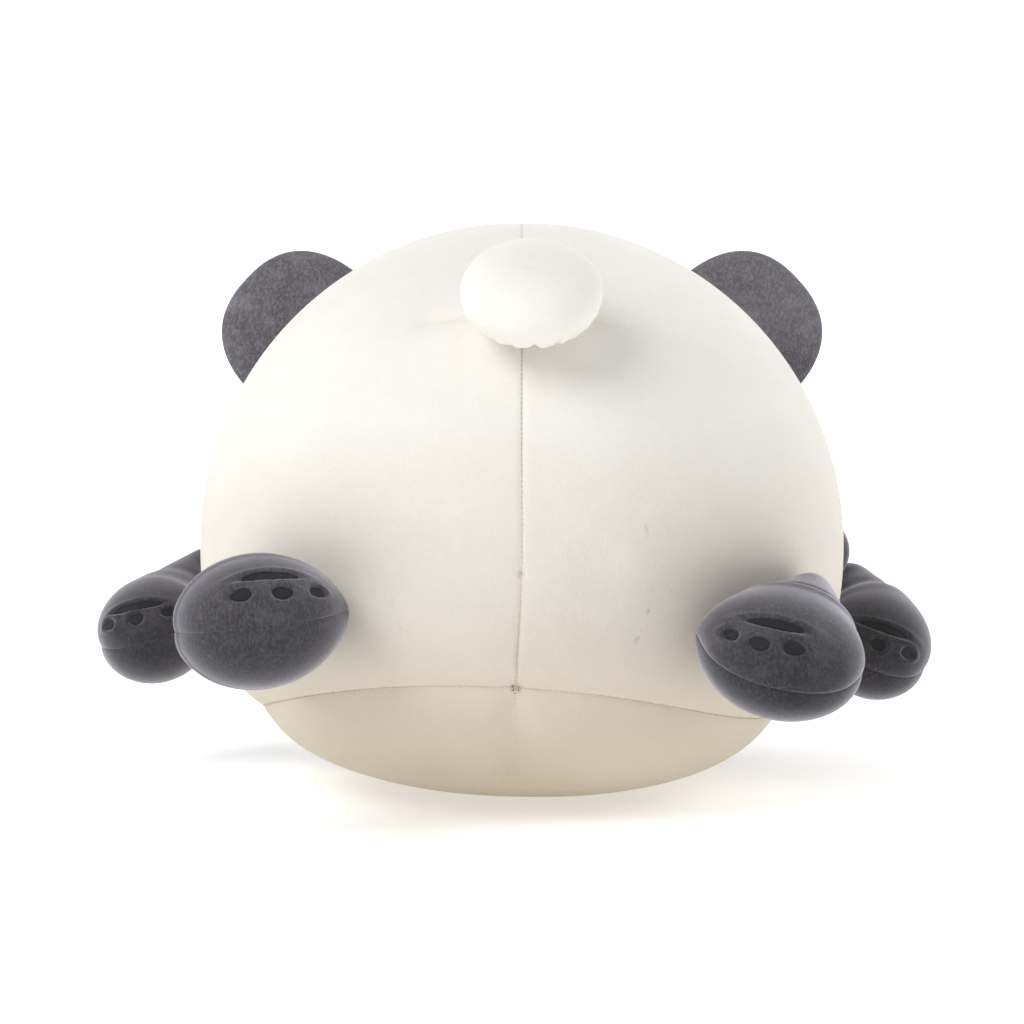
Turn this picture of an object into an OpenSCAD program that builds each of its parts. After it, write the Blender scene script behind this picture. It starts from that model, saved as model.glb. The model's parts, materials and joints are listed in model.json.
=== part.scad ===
// Stuffed panda lying on its belly: sewn fabric panels over fibre filling.
// X is across the toy with its own left side at +X, the face looks along -Y, and Z is up from the rest surface.

/* [Torso] */
// Greatest width of the torso
torso_w = 300; // [270:5:330]
// Height of the torso's fattest line above the rest surface
axis_z = 114; // [108:1:118]
// Distance from the fattest line back to the rump's pole
rump_len = 165; // [150:5:180]
// Where the belly seam crosses the rump, below the fattest line
seam_drop = 44; // [38:1:50]
// How much lower the belly seam runs along the sides
seam_arch = 30; // [16:1:32]

/* [Head] */
// Greatest width of the head
head_w = 276; // [256:4:288]
// Distance from the head's middle to the tip of the face
face_len = 104; // [96:2:112]
// Radius of an ear's outline
ear_r = 42; // [34:1:46]

/* [Fabric] */
// Thickness of the pile fabric
cloth = 2; // [1.5:0.1:2.4]
// Slack between the cloth and the filling
slack = 1.2; // [1:0.1:2]

/* [Limbs] */
// Half width of a hind paw
hind_half_w = 36; // [32:1:38]
// Half width of a fore paw
fore_half_w = 29; // [27:1:30]
// Half thickness of a paw
paw_half_h = 27; // [23:1:28]
// Length of a paw's rounded end
paw_tip = 34; // [30:1:36]
// Half thickness of a limb's neck
neck_half = 16; // [13:1:18]

/* [Tail] */
// Half width of the tail ball
tail_half_w = 30; // [24:1:33]

/* [Eyes] */
// Diameter of an eye bead
eye_d = 15; // [12:1:18]

/* [Hidden] */

// Colours
cream = [0.93, 0.91, 0.86];
charcoal = [0.35, 0.34, 0.37];
pad_grey = [0.17, 0.16, 0.18];
fibre = [0.97, 0.97, 0.97];
bead_black = [0.03, 0.03, 0.03];

// A lump is [centre y, centre z, half width, half height above, half depth below, length back, length front,
// exponent of the sections' lower half, exponent of the underside's profile].
torso = [15, axis_z, torso_w / 2, torso_w / 2, axis_z + 3, rump_len, 190, 2.35, 2.5];
head = [-150, axis_z + 3, head_w / 2, 133, axis_z + 4, 110, face_len, 2, 2.2];
side_power = 2.2;
neck_y = -100;
torso_neck = asin((neck_y - torso[0]) / torso[6]);
head_neck = asin((neck_y - head[0]) / head[5]);
seam_gap = 0.45;
band_side = -24;
face_rim = -34;
chin_side = -28;
fill_inset = cloth + slack;
rows_n = 16;
cols_n = 14;

// ---------- surfaces ----------
function mix(a, b, k) = a + (b - a) * k;
function clip01(k) = min(1, max(0, k));
function ease(k) = let(c = clip01(k)) c * c * (3 - 2 * c);
function unit(v) = v / norm(v);
function dome(q, power) = pow(max(0, 1 - pow(min(1, abs(q)), power)), 1 / power);
function signed_pow(v, power) = sign(v) * pow(abs(v), power);

// Point of a lump at station angle a (90 at the rear pole, -90 at the front pole) and girth angle v.
function lump_pt(d, a, v, inset = 0) =
    let(q = sin(a),
        reach = (q > 0 ? d[5] : d[6]) - inset,
        side = dome(q, side_power),
        low = sin(v) < 0,
        under = low ? dome(q, d[8]) * (d[4] - inset) : side * (d[3] - inset),
        power = low ? 2 / d[7] : 1)
    [side * (d[2] - inset) * signed_pow(cos(v), power),
     d[0] + q * reach,
     max(inset, d[1] + under * signed_pow(sin(v), power))];

// Outward direction, and the direction that runs to the rear along the surface.
function to_rear(d, a, v) = unit(lump_pt(d, a + 1, v) - lump_pt(d, a - 1, v));
function outward(d, a, v) = unit(cross(lump_pt(d, a, v - 1) - lump_pt(d, a, v + 1), to_rear(d, a, v)));

// Height of the belly seam below the torso's axis, and the girth angle where it runs.
function drop_at(a) = seam_drop + seam_arch * pow(dome(sin(a), side_power), 2);
function seam_at(a) =
    let(k = drop_at(a) / (dome(sin(a), torso[8]) * torso[4])) k >= 1 ? -90 : -asin(pow(k, torso[7] / 2));
function find_tip(lo, hi, n) =
    n == 0 ? lo : let(m = (lo + hi) / 2) seam_at(m) > -90 ? find_tip(m, hi, n - 1) : find_tip(lo, m, n - 1);
seam_tip = find_tip(40, 89, 24);

// Rear edge of the shoulder band: it reaches further back at the shoulders than over the spine.
function band_edge(v) = -14 - 13 * pow(max(0, sin(v)), 2);

// Front surface of the head; h is measured up from the head's middle.
function face_pt(x, h, proud = 0) =
    let(r = norm([x / head[2], h / (h > 0 ? head[3] : head[4])]))
    [x, head[0] - head[6] * dome(r, side_power) - proud, head[1] + h];

// ---------- closed solids from rows of points ----------
function starts(rows) = [for (i = 0, s = 0; i < len(rows); s = s + len(rows[i]), i = i + 1) s];
function all_points(rows) = [for (r = rows) each r];
function quad(a, b, c, d) = [[a, b, c], [a, c, d]];
function strip(a, na, b, nb, closed) =
    [for (j = [0 : max(na, nb) - (closed ? 1 : 2)]) each
        na == 1 ? [[a, b + j, b + (j + 1) % nb]]
        : nb == 1 ? [[a + j, b, a + (j + 1) % na]]
        : quad(a + j, b + j, b + (j + 1) % nb, a + (j + 1) % na)];
function strips(rows, s, closed) =
    [for (i = [0 : len(rows) - 2]) each strip(s[i], len(rows[i]), s[i + 1], len(rows[i + 1]), closed)];

// A solid whose rows are rings, with a single point at each end.
module filled(rows) {
    polyhedron(all_points(rows), strips(rows, starts(rows), true));
}

// A sheet of cloth between an outer and an inner set of rows; a row may be a single point.
module sheet(outer, inner, closed = false) {
    s = starts(outer);
    n = len(outer);
    count = len(all_points(outer));
    last = n - 1;
    face = strips(outer, s, closed);
    back = [for (t = face) [t[0] + count, t[2] + count, t[1] + count]];
    function rim(i, flip) =
        let(m = len(outer[i]), w = m == 1 ? -1 : closed ? m - 1 : m - 2)
        [for (j = [0 : 1 : w]) let(p = s[i] + j, q = s[i] + (j + 1) % m)
            each flip ? quad(q, p, p + count, q + count) : quad(p, q, q + count, p + count)];
    ends = closed ? [] : [for (i = [0 : n - 2])
        let(a0 = s[i], b0 = s[i + 1], a1 = a0 + len(outer[i]) - 1, b1 = b0 + len(outer[i + 1]) - 1)
        each concat(quad(b0, a0, a0 + count, b0 + count), quad(a1, b1, b1 + count, a1 + count))];
    polyhedron(concat(all_points(outer), all_points(inner)),
        concat(face, back, rim(0, false), rim(last, true), ends));
}

// ---------- torso ----------
function row_angle(i, far) = mix(seam_tip, far, pow(i / rows_n, 2));
cap_rows = 4;

function back_rows(inset) = concat(
    [[lump_pt(torso, 90, 90, inset)]],
    [for (c = [1 : cap_rows - 1]) let(a = mix(90, seam_tip, c / cap_rows))
        [for (j = [0 : cols_n]) lump_pt(torso, a, mix(-90, 90, j / cols_n), inset)]],
    [for (i = [0 : rows_n]) let(low = seam_at(row_angle(i, band_edge(-90))))
        [for (j = [0 : cols_n]) let(v = mix(low, 90, j / cols_n))
            lump_pt(torso, row_angle(i, band_edge(v)), v, inset)]]);

module back_panel() {
    color(cream) sheet(back_rows(0), back_rows(cloth));
}

function belly_rows(inset) = [for (i = [0 : rows_n])
    let(a = row_angle(i, band_edge(-90)), low = seam_at(a))
    i == 0 ? [lump_pt(torso, a, -90, inset)]
    : [for (j = [0 : cols_n]) lump_pt(torso, a, mix(-180 - low, low, j / cols_n), inset)]];

module belly_panel() {
    color(cream) sheet(belly_rows(0), belly_rows(cloth));
}

// Part of the band between the back or belly and the neck, over a range of girth angles.
function band_rows(v0, v1, cols, inset) = [for (i = [0 : 5])
    [for (j = [0 : cols]) let(v = mix(v0, v1, j / cols), a = band_edge(v) - seam_gap)
        lump_pt(torso, mix(a, torso_neck + seam_gap, i / 5), v, inset)]];

module shoulder_band() {
    color(charcoal)
        sheet(band_rows(band_side, 180 - band_side, 24, 0), band_rows(band_side, 180 - band_side, 24, cloth));
}

module chest_panel() {
    v0 = -180 - band_side + seam_gap;
    v1 = band_side - seam_gap;
    color(charcoal) sheet(band_rows(v0, v1, 14, 0), band_rows(v0, v1, 14, cloth));
}

module body_stuffing() {
    ring = [for (j = [0 : 35]) j * 10];
    color(fibre) filled(concat(
        [[lump_pt(torso, 90, 90, fill_inset)]],
        [for (a = [80 : -11 : torso_neck + 3]) [for (v = ring) lump_pt(torso, a, v, fill_inset)]],
        [[for (v = ring) lump_pt(torso, torso_neck, v, fill_inset)]],
        [[[0, lump_pt(torso, torso_neck, 0, fill_inset)[1], torso[1]]]]));
}

// ---------- head ----------
function crown_rows(v0, v1, cols, inset) = [for (i = [0 : 8])
    [for (j = [0 : cols])
        lump_pt(head, mix(head_neck - seam_gap, face_rim + seam_gap, i / 8), mix(v0, v1, j / cols), inset)]];

module crown_panel() {
    color(cream) sheet(crown_rows(chin_side, 90, 12, 0), crown_rows(chin_side, 90, 12, cloth));
}

module chin_panel() {
    v0 = -180 - chin_side + seam_gap;
    v1 = chin_side - seam_gap;
    color(cream) sheet(crown_rows(v0, v1, 14, 0), crown_rows(v0, v1, 14, cloth));
}

function face_rows(inset) = concat(
    [for (i = [0 : 8]) [for (j = [0 : 35]) lump_pt(head, mix(face_rim - seam_gap, -84, i / 8), 10 * j, inset)]],
    [[lump_pt(head, -90, 0, inset)]]);

module face_panel() {
    color(cream) difference() {
        sheet(face_rows(0), face_rows(cloth), closed = true);
        eye_holes(shank_d + 0.4, 14);
    }
}

module head_stuffing() {
    ring = [for (j = [0 : 35]) j * 10];
    color(fibre) difference() {
        filled(concat(
            [[[0, lump_pt(head, head_neck - 0.5, 0, fill_inset)[1], head[1]]]],
            [for (a = [head_neck - 0.5 : -11 : -84]) [for (v = ring) lump_pt(head, a, v, fill_inset)]],
            [[lump_pt(head, -90, 0, fill_inset)]]));
        eye_holes(washer_d + 1, 16);
    }
}

// An oval that lies on the face: centre, half sizes, tilt, and the height of its middle and its rim.
function oval_rows(c, half, tilt, middle, rim, rings) = concat(
    [[face_pt(c[0], c[1], middle)]],
    [for (i = [1 : rings]) [for (j = [0 : 23])
        let(u = half[0] * i / rings * cos(15 * j), w = half[1] * i / rings * sin(15 * j))
        face_pt(c[0] + u * cos(tilt) - w * sin(tilt), c[1] + u * sin(tilt) + w * cos(tilt),
            mix(rim, middle, dome(i / rings, 2.4)))]]);

module oval(c, half, tilt, top, rim, under, rings = 4) {
    sheet(oval_rows(c, half, tilt, top, rim, rings), oval_rows(c, half, tilt, under, under, rings), closed = true);
}

patch_c = [56, -7];
eye_c = [50, -1];
muzzle_c = [0, -33];
muzzle_half = [38, 27];
muzzle_top = 11;
nose_c = [0, -19];
mouth_h = -33;

module eye_patch() {
    color(charcoal) difference() {
        oval(patch_c, [29, 22], -42, 1.5, 1.2, 0.5);
        eye_holes(shank_d + 0.4, 14);
    }
}

module muzzle() {
    color(cream) oval(muzzle_c, muzzle_half, 0, muzzle_top, 1.2, 0.5, 6);
}

// Height of the muzzle's surface above the face.
function muzzle_at(x, h) =
    mix(1.2, muzzle_top, dome(norm([(x - muzzle_c[0]) / muzzle_half[0], (h - muzzle_c[1]) / muzzle_half[1]]), 2.4));

module nose() {
    proud = muzzle_at(nose_c[0], nose_c[1]);
    color(pad_grey) oval(nose_c, [11, 7], 0, proud + 3.4, proud + 1.6, proud + 0.9);
}

// Two curved lines of satin stitch that meet under the nose.
module mouth() {
    steps = 8;
    r = 0.9;
    color(pad_grey) for (side = [-1, 1]) filled(concat(
        [[mouth_pt(side, 0)]],
        [for (i = [0 : steps]) [for (j = [0 : 7])
            mouth_pt(side, i / steps) + r * [0, cos(45 * j), side * sin(45 * j)]]],
        [[mouth_pt(side, 1)]]));
}
function mouth_pt(side, k) =
    let(x = side * mix(1.4, 15, k), h = mouth_h - 8 * sin(150 * k)) face_pt(x, h, muzzle_at(x, h) + 1.5);

// Plastic eye with a ribbed shank that goes through the patch and the face, held by a washer inside.
eye_at = face_pt(eye_c[0], eye_c[1], 1.9);
eye_dir = unit([0.24, -1, 0]);
shank_d = 4;
washer_d = 12;
washer_depth = 9;

module aim(at, dir) {
    translate(at) rotate([0, acos(dir[2]), atan2(dir[1], dir[0])]) children();
}

// Holes on both sides of the face that reach depth below an eye's seat.
module eye_holes(d, depth) {
    for (side = [0, 1]) mirror([side, 0, 0]) aim(eye_at, eye_dir)
        translate([0, 0, -depth]) cylinder(d = d, h = depth + 10, $fn = 32);
}

module eye() {
    cap_h = eye_d * 0.36;
    color(bead_black) aim(eye_at, eye_dir) {
        rotate_extrude($fn = 48) polygon(concat([[0, 0], [eye_d / 2, 0]],
            [for (k = [15 : 15 : 90]) [eye_d / 2 * cos(k), cap_h * sin(k)]]));
        translate([0, 0, -14]) cylinder(d = shank_d, h = 14, $fn = 32);
    }
}

module eye_washer() {
    color(fibre) aim(eye_at, eye_dir) translate([0, 0, -washer_depth]) difference() {
        cylinder(d = washer_d, h = 1.2, $fn = 32);
        translate([0, 0, -1]) cylinder(d = shank_d + 0.1, h = 4, $fn = 32);
    }
}

// ---------- ears ----------
// An ear stands on the head's side; its own z runs out from the head, x along the base, y through its thickness.
ear_h = ear_r + 12;
ear_half_t = 9;
ear_a = 15.8;
ear_v = 41;
ear_lean = 48;
ear_yaw = 6;
ear_gap = 2.2;
ear_cloth = 1.6;
function ear_half_w(h) = sqrt(max(0, pow(ear_r, 2) - pow(h - (ear_h - ear_r), 2)));
function ear_half_thick(h) = mix(1.8, ear_half_t, ease(h / 20)) * pow(max(0, 1 - pow(h / ear_h, 3)), 0.5);
function ear_pt(k, v, inset) =
    let(h = mix(inset, ear_h - inset, k),
        w = max(0, ear_half_w(h) - inset),
        x = w * cos(v),
        foot = -pow(x, 2) / 270 * (1 - k))
    [x, max(0, ear_half_thick(h) - inset * 0.9) * sin(v), h + foot];
function ear_rows(v0, v1, cols, inset) = concat(
    [for (k = [0, 0.08, 0.18, 0.3, 0.44, 0.58, 0.72, 0.84, 0.93, 0.98]) [for (j = [0 : cols])
        ear_pt(k, mix(v0, v1, j / cols), inset)]],
    [[ear_pt(1, 0, inset)]]);

module place_ear() {
    translate(lump_pt(head, ear_a, ear_v)) rotate([0, ear_lean, 0]) rotate([0, 0, ear_yaw])
        translate([0, 0, ear_gap]) children();
}

module ear_panel(front) {
    v0 = front ? 180 : 0;
    color(charcoal) place_ear() sheet(ear_rows(v0, v0 + 180, 10, 0), ear_rows(v0, v0 + 180, 10, ear_cloth));
}

module ear_padding() {
    rows = ear_rows(0, 342, 19, 2.2);
    color(fibre) place_ear() filled(concat([[[0, 0, 2.2]]], rows));
}

// ---------- tail ----------
tail_a = 51.4;
tail_v = 92.2;
tail_rise = 23;
tail_gap = 1;
tail_mouth = -75;
tail_half_d = 26;
tail_half_h = 21;
function tail_pt(a, v, inset) =
    [(tail_half_w - inset) * cos(a) * cos(v), (tail_half_d - inset) * cos(a) * sin(v),
     tail_rise + (tail_half_h - inset) * sin(a)];

module place_tail() {
    n = outward(torso, tail_a, tail_v);
    translate(lump_pt(torso, tail_a, tail_v) + tail_gap * n) rotate([-atan2(n[1], n[2]), 0, 0]) children();
}

function tail_rows(inset) = [for (a = [tail_mouth, -58, -42, -26, -10, 5, 20, 35, 50, 65, 78])
    [for (j = [0 : 23]) tail_pt(a, j * 15, inset)]];

module tail_cover() {
    color(cream) place_tail() sheet(
        concat(tail_rows(0), [[tail_pt(90, 0, 0)]]),
        concat(tail_rows(cloth), [[tail_pt(90, 0, cloth)]]), closed = true);
}

module tail_stuffing() {
    foot = tail_pt(tail_mouth, 0, fill_inset)[2];
    color(fibre) place_tail()
        filled(concat([[[0, 0, foot]]], tail_rows(fill_inset), [[tail_pt(90, 0, fill_inset)]]));
}

// Gathering thread that draws the tail's mouth together against the back.
module tail_gather_thread() {
    color(cream) place_tail() translate([0, 0, 1.5]) rotate_extrude($fn = 48)
        translate([6, 0]) circle(d = 1.2, $fn = 16);
}

// ---------- limbs ----------
// A limb is [station and girth angle of its root on the torso, middle of the paw from the root,
// direction of the paw, roll of the paw, half width of the paw, how far the root leans to the paw's direction,
// pads], and pads is [tip and side angles of the large pad, tip and side angles of the middle toe, toe spacing].
arm_left = [-27.3, -6, [40.5, 46, -29.5], [0.14, 0.98, -0.13], -14, fore_half_w, 0, [47, -4, 62, -3, 33]];
arm_right = [-28.6, 188, [-35.5, 50, -32], [0.08, 0.94, -0.32], 22, fore_half_w, 0, [43, 6, 62, 8, 33]];
leg_left = [44.7, -7.8, [-4, 55, -2], [-0.20, 0.978, 0.04], -6, hind_half_w, 0.4, [43, -8, 60, -18, 26]];
leg_right = [43.7, 184.5, [8, 57, -22], [0.21, 0.92, -0.33], 14, hind_half_w, 0.4, [32, 8, 53, 16, 24]];
pad_half_w = 12.8;
leave_len = 20;
arrive_len = 24;
bulb_at = 0.6;
ring_n = 16;
seam_turn = 0.8;
root_gap = 2.2;
root_half = 14;
root_flat = 1.2;

function normal_of(l) = outward(torso, l[0], l[1]);
function root_of(l) = lump_pt(torso, l[0], l[1]) + root_gap * normal_of(l);
function bulb_of(l) = root_of(l) + l[2];
// The four points that guide the limb's curve from its root to the middle of the paw.
function guides(l) =
    let(u = unit(l[3]), r = root_of(l))
    [r, r + leave_len * unit(mix(normal_of(l), u, l[6])), bulb_of(l) - arrive_len * u, bulb_of(l)];
function bezier(g, k) =
    let(a = mix(g[0], g[1], k), b = mix(g[1], g[2], k), c = mix(g[2], g[3], k))
    mix(mix(a, b, k), mix(b, c, k), k);
function bezier_dir(g, k) =
    unit(mix(mix(g[1] - g[0], g[2] - g[1], k), mix(g[2] - g[1], g[3] - g[2], k), k));
function along(l, t) =
    bezier(guides(l), min(1, t / bulb_at)) + max(0, t - bulb_at) / (1 - bulb_at) * paw_tip * unit(l[3]);
function heading(l, t) = bezier_dir(guides(l), min(1, t / bulb_at));
// Direction across the limb: along the sewn line at the root, then level, then rolled at the paw.
function width_dir(l, t) =
    let(u = heading(l, t),
        w = unit(mix(unit(cross(normal_of(l), [0, 0, 1])), unit(cross(u, [0, 0, 1])), ease(t / 0.35))),
        n = unit(cross(w, u)),
        roll = l[4] * ease(t / bulb_at))
    w * cos(roll) + n * sin(roll);
function swell(t, root, neck, bulb) =
    t <= bulb_at ? root + (neck - root) * sin(90 * min(1, t / 0.2)) + (bulb - neck) * ease((t - 0.15) / (bulb_at - 0.15))
    : bulb * dome((t - bulb_at) / (1 - bulb_at), 2);
function limb_pt(l, t, v, inset) =
    let(k = mix(inset / 85, 1 - inset / 85, t),
        w = width_dir(l, k), n = unit(cross(w, heading(l, k))),
        hw = max(0.4, swell(k, root_half, neck_half, l[5]) - inset),
        hn = max(0.4, swell(k, root_flat, neck_half, paw_half_h) - inset))
    along(l, k) + w * hw * cos(v) + n * hn * sin(v);
limb_stations = concat([0, 0.05, 0.1, 0.15, 0.2, 0.28, 0.36, 0.44, 0.52],
    [for (k = [0, 22, 42, 60, 76]) mix(bulb_at, 1, sin(k))]);

// Rows of points round the limb from girth angle v0 to v1.
function limb_rows(l, v0, v1, cols, inset) = concat(
    [for (t = limb_stations) [for (j = [0 : cols]) limb_pt(l, t, mix(v0, v1, j / cols), inset)]],
    [[along(l, 1 - inset / 85)]]);

// Half of the limb's cover; the two halves meet with a small gap along the seam.
module limb_panel(l, v0) {
    v1 = v0 + 180 - seam_turn;
    color(charcoal) sheet(limb_rows(l, v0 + seam_turn, v1, ring_n / 2, 0),
        limb_rows(l, v0 + seam_turn, v1, ring_n / 2, cloth));
}

module limb_stuffing(l) {
    inset = cloth + 0.5;
    color(fibre) filled(concat([[along(l, inset / 85)]], limb_rows(l, 0, 360 - 360 / ring_n, ring_n - 1, inset)));
}

// A point of the paw's rounded end: tip is the angle from the sole towards the tip, side the angle across.
function paw_pt(l, tip, side, proud) =
    let(w = width_dir(l, 1), u = heading(l, 1), n = cross(w, u))
    bulb_of(l) + w * (l[5] + proud) * sin(side)
    + n * (paw_half_h + proud) * cos(side) * cos(tip) + u * (paw_tip + proud) * cos(side) * sin(tip);

// An oval pad on the sole: its middle and its half sizes are angles on the rounded end.
module sole_pad(l, tip, side, half_tip, half_side) {
    function rows(proud) = concat([[paw_pt(l, tip, side, proud)]],
        [for (i = [1 : 2]) [for (j = [0 : 11])
            paw_pt(l, tip + half_tip * i / 2 * sin(30 * j), side + half_side * i / 2 * cos(30 * j), proud)]]);
    sheet(rows(1.5), rows(0.55), closed = true);
}

module big_pad(l) {
    color(pad_grey) sole_pad(l, l[7][0], l[7][1], 4.5, asin(pad_half_w / l[5]));
}

// Three toe pads in an arc across the paw.
module toe_pads(l) {
    color(pad_grey) for (k = [-1, 0, 1]) sole_pad(l, l[7][2] - 3 * abs(k), l[7][3] + l[7][4] * k, 6, 7.5);
}

back_panel();  // back_panel_left
mirror([1, 0, 0]) back_panel();  // back_panel_right
belly_panel();
shoulder_band();
chest_panel();
crown_panel();  // crown_left
mirror([1, 0, 0]) crown_panel();  // crown_right
face_panel();
chin_panel();
muzzle();
body_stuffing();
head_stuffing();
eye_patch();  // eye_patch_left
mirror([1, 0, 0]) eye_patch();  // eye_patch_right
eye();  // eye_left
mirror([1, 0, 0]) eye();  // eye_right
eye_washer();  // eye_washer_left
mirror([1, 0, 0]) eye_washer();  // eye_washer_right
nose();
mouth();
ear_panel(false);  // ear_back_left
ear_panel(true);  // ear_front_left
ear_padding();  // ear_padding_left
mirror([1, 0, 0]) ear_panel(false);  // ear_back_right
mirror([1, 0, 0]) ear_panel(true);  // ear_front_right
mirror([1, 0, 0]) ear_padding();  // ear_padding_right
tail_cover();
tail_stuffing();
tail_gather_thread();
limb_panel(arm_left, 0);  // arm_left_sole_panel
limb_panel(arm_left, 180);  // arm_left_top_panel
limb_stuffing(arm_left);  // arm_left_stuffing
big_pad(arm_left);  // arm_left_palm_pad
toe_pads(arm_left);  // arm_left_toe_pads
limb_panel(arm_right, 0);  // arm_right_sole_panel
limb_panel(arm_right, 180);  // arm_right_top_panel
limb_stuffing(arm_right);  // arm_right_stuffing
big_pad(arm_right);  // arm_right_palm_pad
toe_pads(arm_right);  // arm_right_toe_pads
limb_panel(leg_left, 0);  // leg_left_sole_panel
limb_panel(leg_left, 180);  // leg_left_top_panel
limb_stuffing(leg_left);  // leg_left_stuffing
big_pad(leg_left);  // leg_left_heel_pad
toe_pads(leg_left);  // leg_left_toe_pads
limb_panel(leg_right, 0);  // leg_right_sole_panel
limb_panel(leg_right, 180);  // leg_right_top_panel
limb_stuffing(leg_right);  // leg_right_stuffing
big_pad(leg_right);  // leg_right_heel_pad
toe_pads(leg_right);  // leg_right_toe_pads
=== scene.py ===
"""Visual model of a stuffed panda that lies on its belly, in soft studio light.

Lengths are in metres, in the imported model's frame: X to the toy's own left, the face along -Y, Z up from the floor.
Angles that place things on the body are in degrees: a station runs from 90 at the rump's pole to -90 at the face,
and a girth angle runs round a ring from the toy's left side over its back.
"""

from __future__ import annotations

import json
import logging
import math
from dataclasses import dataclass, field
from enum import Enum
from typing import Callable, Sequence

import bmesh
import bpy
import numpy as np
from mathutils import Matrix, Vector
from mathutils.bvhtree import BVHTree
from mathutils.kdtree import KDTree

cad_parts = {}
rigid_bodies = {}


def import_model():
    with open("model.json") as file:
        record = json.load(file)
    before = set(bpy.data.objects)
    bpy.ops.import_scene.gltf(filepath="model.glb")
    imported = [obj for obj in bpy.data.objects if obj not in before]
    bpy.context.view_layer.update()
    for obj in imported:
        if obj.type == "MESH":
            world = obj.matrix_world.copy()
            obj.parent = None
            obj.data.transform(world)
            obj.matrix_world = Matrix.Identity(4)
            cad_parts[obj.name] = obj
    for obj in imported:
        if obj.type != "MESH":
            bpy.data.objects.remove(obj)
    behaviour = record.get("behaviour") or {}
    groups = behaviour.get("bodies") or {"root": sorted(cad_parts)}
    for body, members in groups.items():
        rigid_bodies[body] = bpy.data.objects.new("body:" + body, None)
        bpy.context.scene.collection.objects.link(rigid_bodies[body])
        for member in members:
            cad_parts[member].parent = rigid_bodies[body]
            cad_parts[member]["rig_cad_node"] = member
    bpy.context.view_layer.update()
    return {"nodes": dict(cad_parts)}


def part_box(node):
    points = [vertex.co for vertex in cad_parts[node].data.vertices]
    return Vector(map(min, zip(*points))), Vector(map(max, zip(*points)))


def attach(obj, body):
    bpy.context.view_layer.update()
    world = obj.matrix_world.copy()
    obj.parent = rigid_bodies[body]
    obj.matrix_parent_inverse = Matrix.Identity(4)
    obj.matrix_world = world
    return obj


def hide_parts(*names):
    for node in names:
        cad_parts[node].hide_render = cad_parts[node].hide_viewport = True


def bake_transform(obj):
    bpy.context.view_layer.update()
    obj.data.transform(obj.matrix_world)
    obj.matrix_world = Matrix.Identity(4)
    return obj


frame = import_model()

log = logging.getLogger("panda")
Array = np.ndarray
MM = 0.001


class Slot(Enum):
    """Material slots of the record."""

    CREAM = "cream_pile"
    CHARCOAL = "charcoal_pile"
    PAD = "pad_embroidery"
    FILLING = "fibre_filling"
    THREAD = "thread"
    EYE = "eye_plastic"
    WASHER = "washer_plastic"


# Length in millimetres divided by a full turn's radians, size, and how far the seed shifts each wave.
WAVES = ((2.9, 1.0, 1.0), (4.7, 0.8, 2.3), (7.9, 0.7, 4.1))


# ---------------------------------------------------------------- small sums


def mix(a: Array | float, b: Array | float, k: Array | float) -> Array | float:
    """The value a share k of the way from a to b."""
    return a + (b - a) * k


def ease(k: Array | float) -> Array | float:
    """Smooth step from 0 to 1."""
    c = np.clip(k, 0, 1)
    return c * c * (3 - 2 * c)


def dome(q: Array | float, power: float) -> Array | float:
    """Height of a rounded profile, 1 at its middle and 0 at its ends."""
    return np.maximum(0, 1 - np.minimum(1, np.abs(q)) ** power) ** (1 / power)


def unit(v: Array) -> Array:
    """Vectors of length one."""
    return v / np.maximum(np.linalg.norm(v, axis=-1, keepdims=True), 1e-12)


def bell(d: Array, width: float) -> Array:
    """A soft bump, 1 where d is 0."""
    return np.exp(-((d / width) ** 2))


def table(k: Array, v: Array) -> list[Array]:
    """Two tables of every pair of k and v."""
    return np.meshgrid(k, v, indexing="ij")


def crowded(count: int, share: float = 0.6) -> Array:
    """Steps from 0 to 1 that stand closer together at both ends.

    Args:
        count: How many steps.
        share: How strongly they crowd, from 0 to 1.

    Returns:
        The steps.
    """
    u = np.linspace(0, 1, count)
    return share * (0.5 - 0.5 * np.cos(np.pi * u)) + (1 - share) * u


def ripple(u: Array, seed: float) -> Array:
    """Smooth uneven waves, between -1 and 1.

    Args:
        u: Coordinate along the cloth, in metres.
        seed: Shifts the waves, so that two lines differ.

    Returns:
        The wave's height.
    """
    waves = sum(size * np.sin(u / MM / length + turn * seed) for length, size, turn in WAVES)
    return waves / sum(size for _, size, _ in WAVES)


# ---------------------------------------------------------------- finishes


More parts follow.
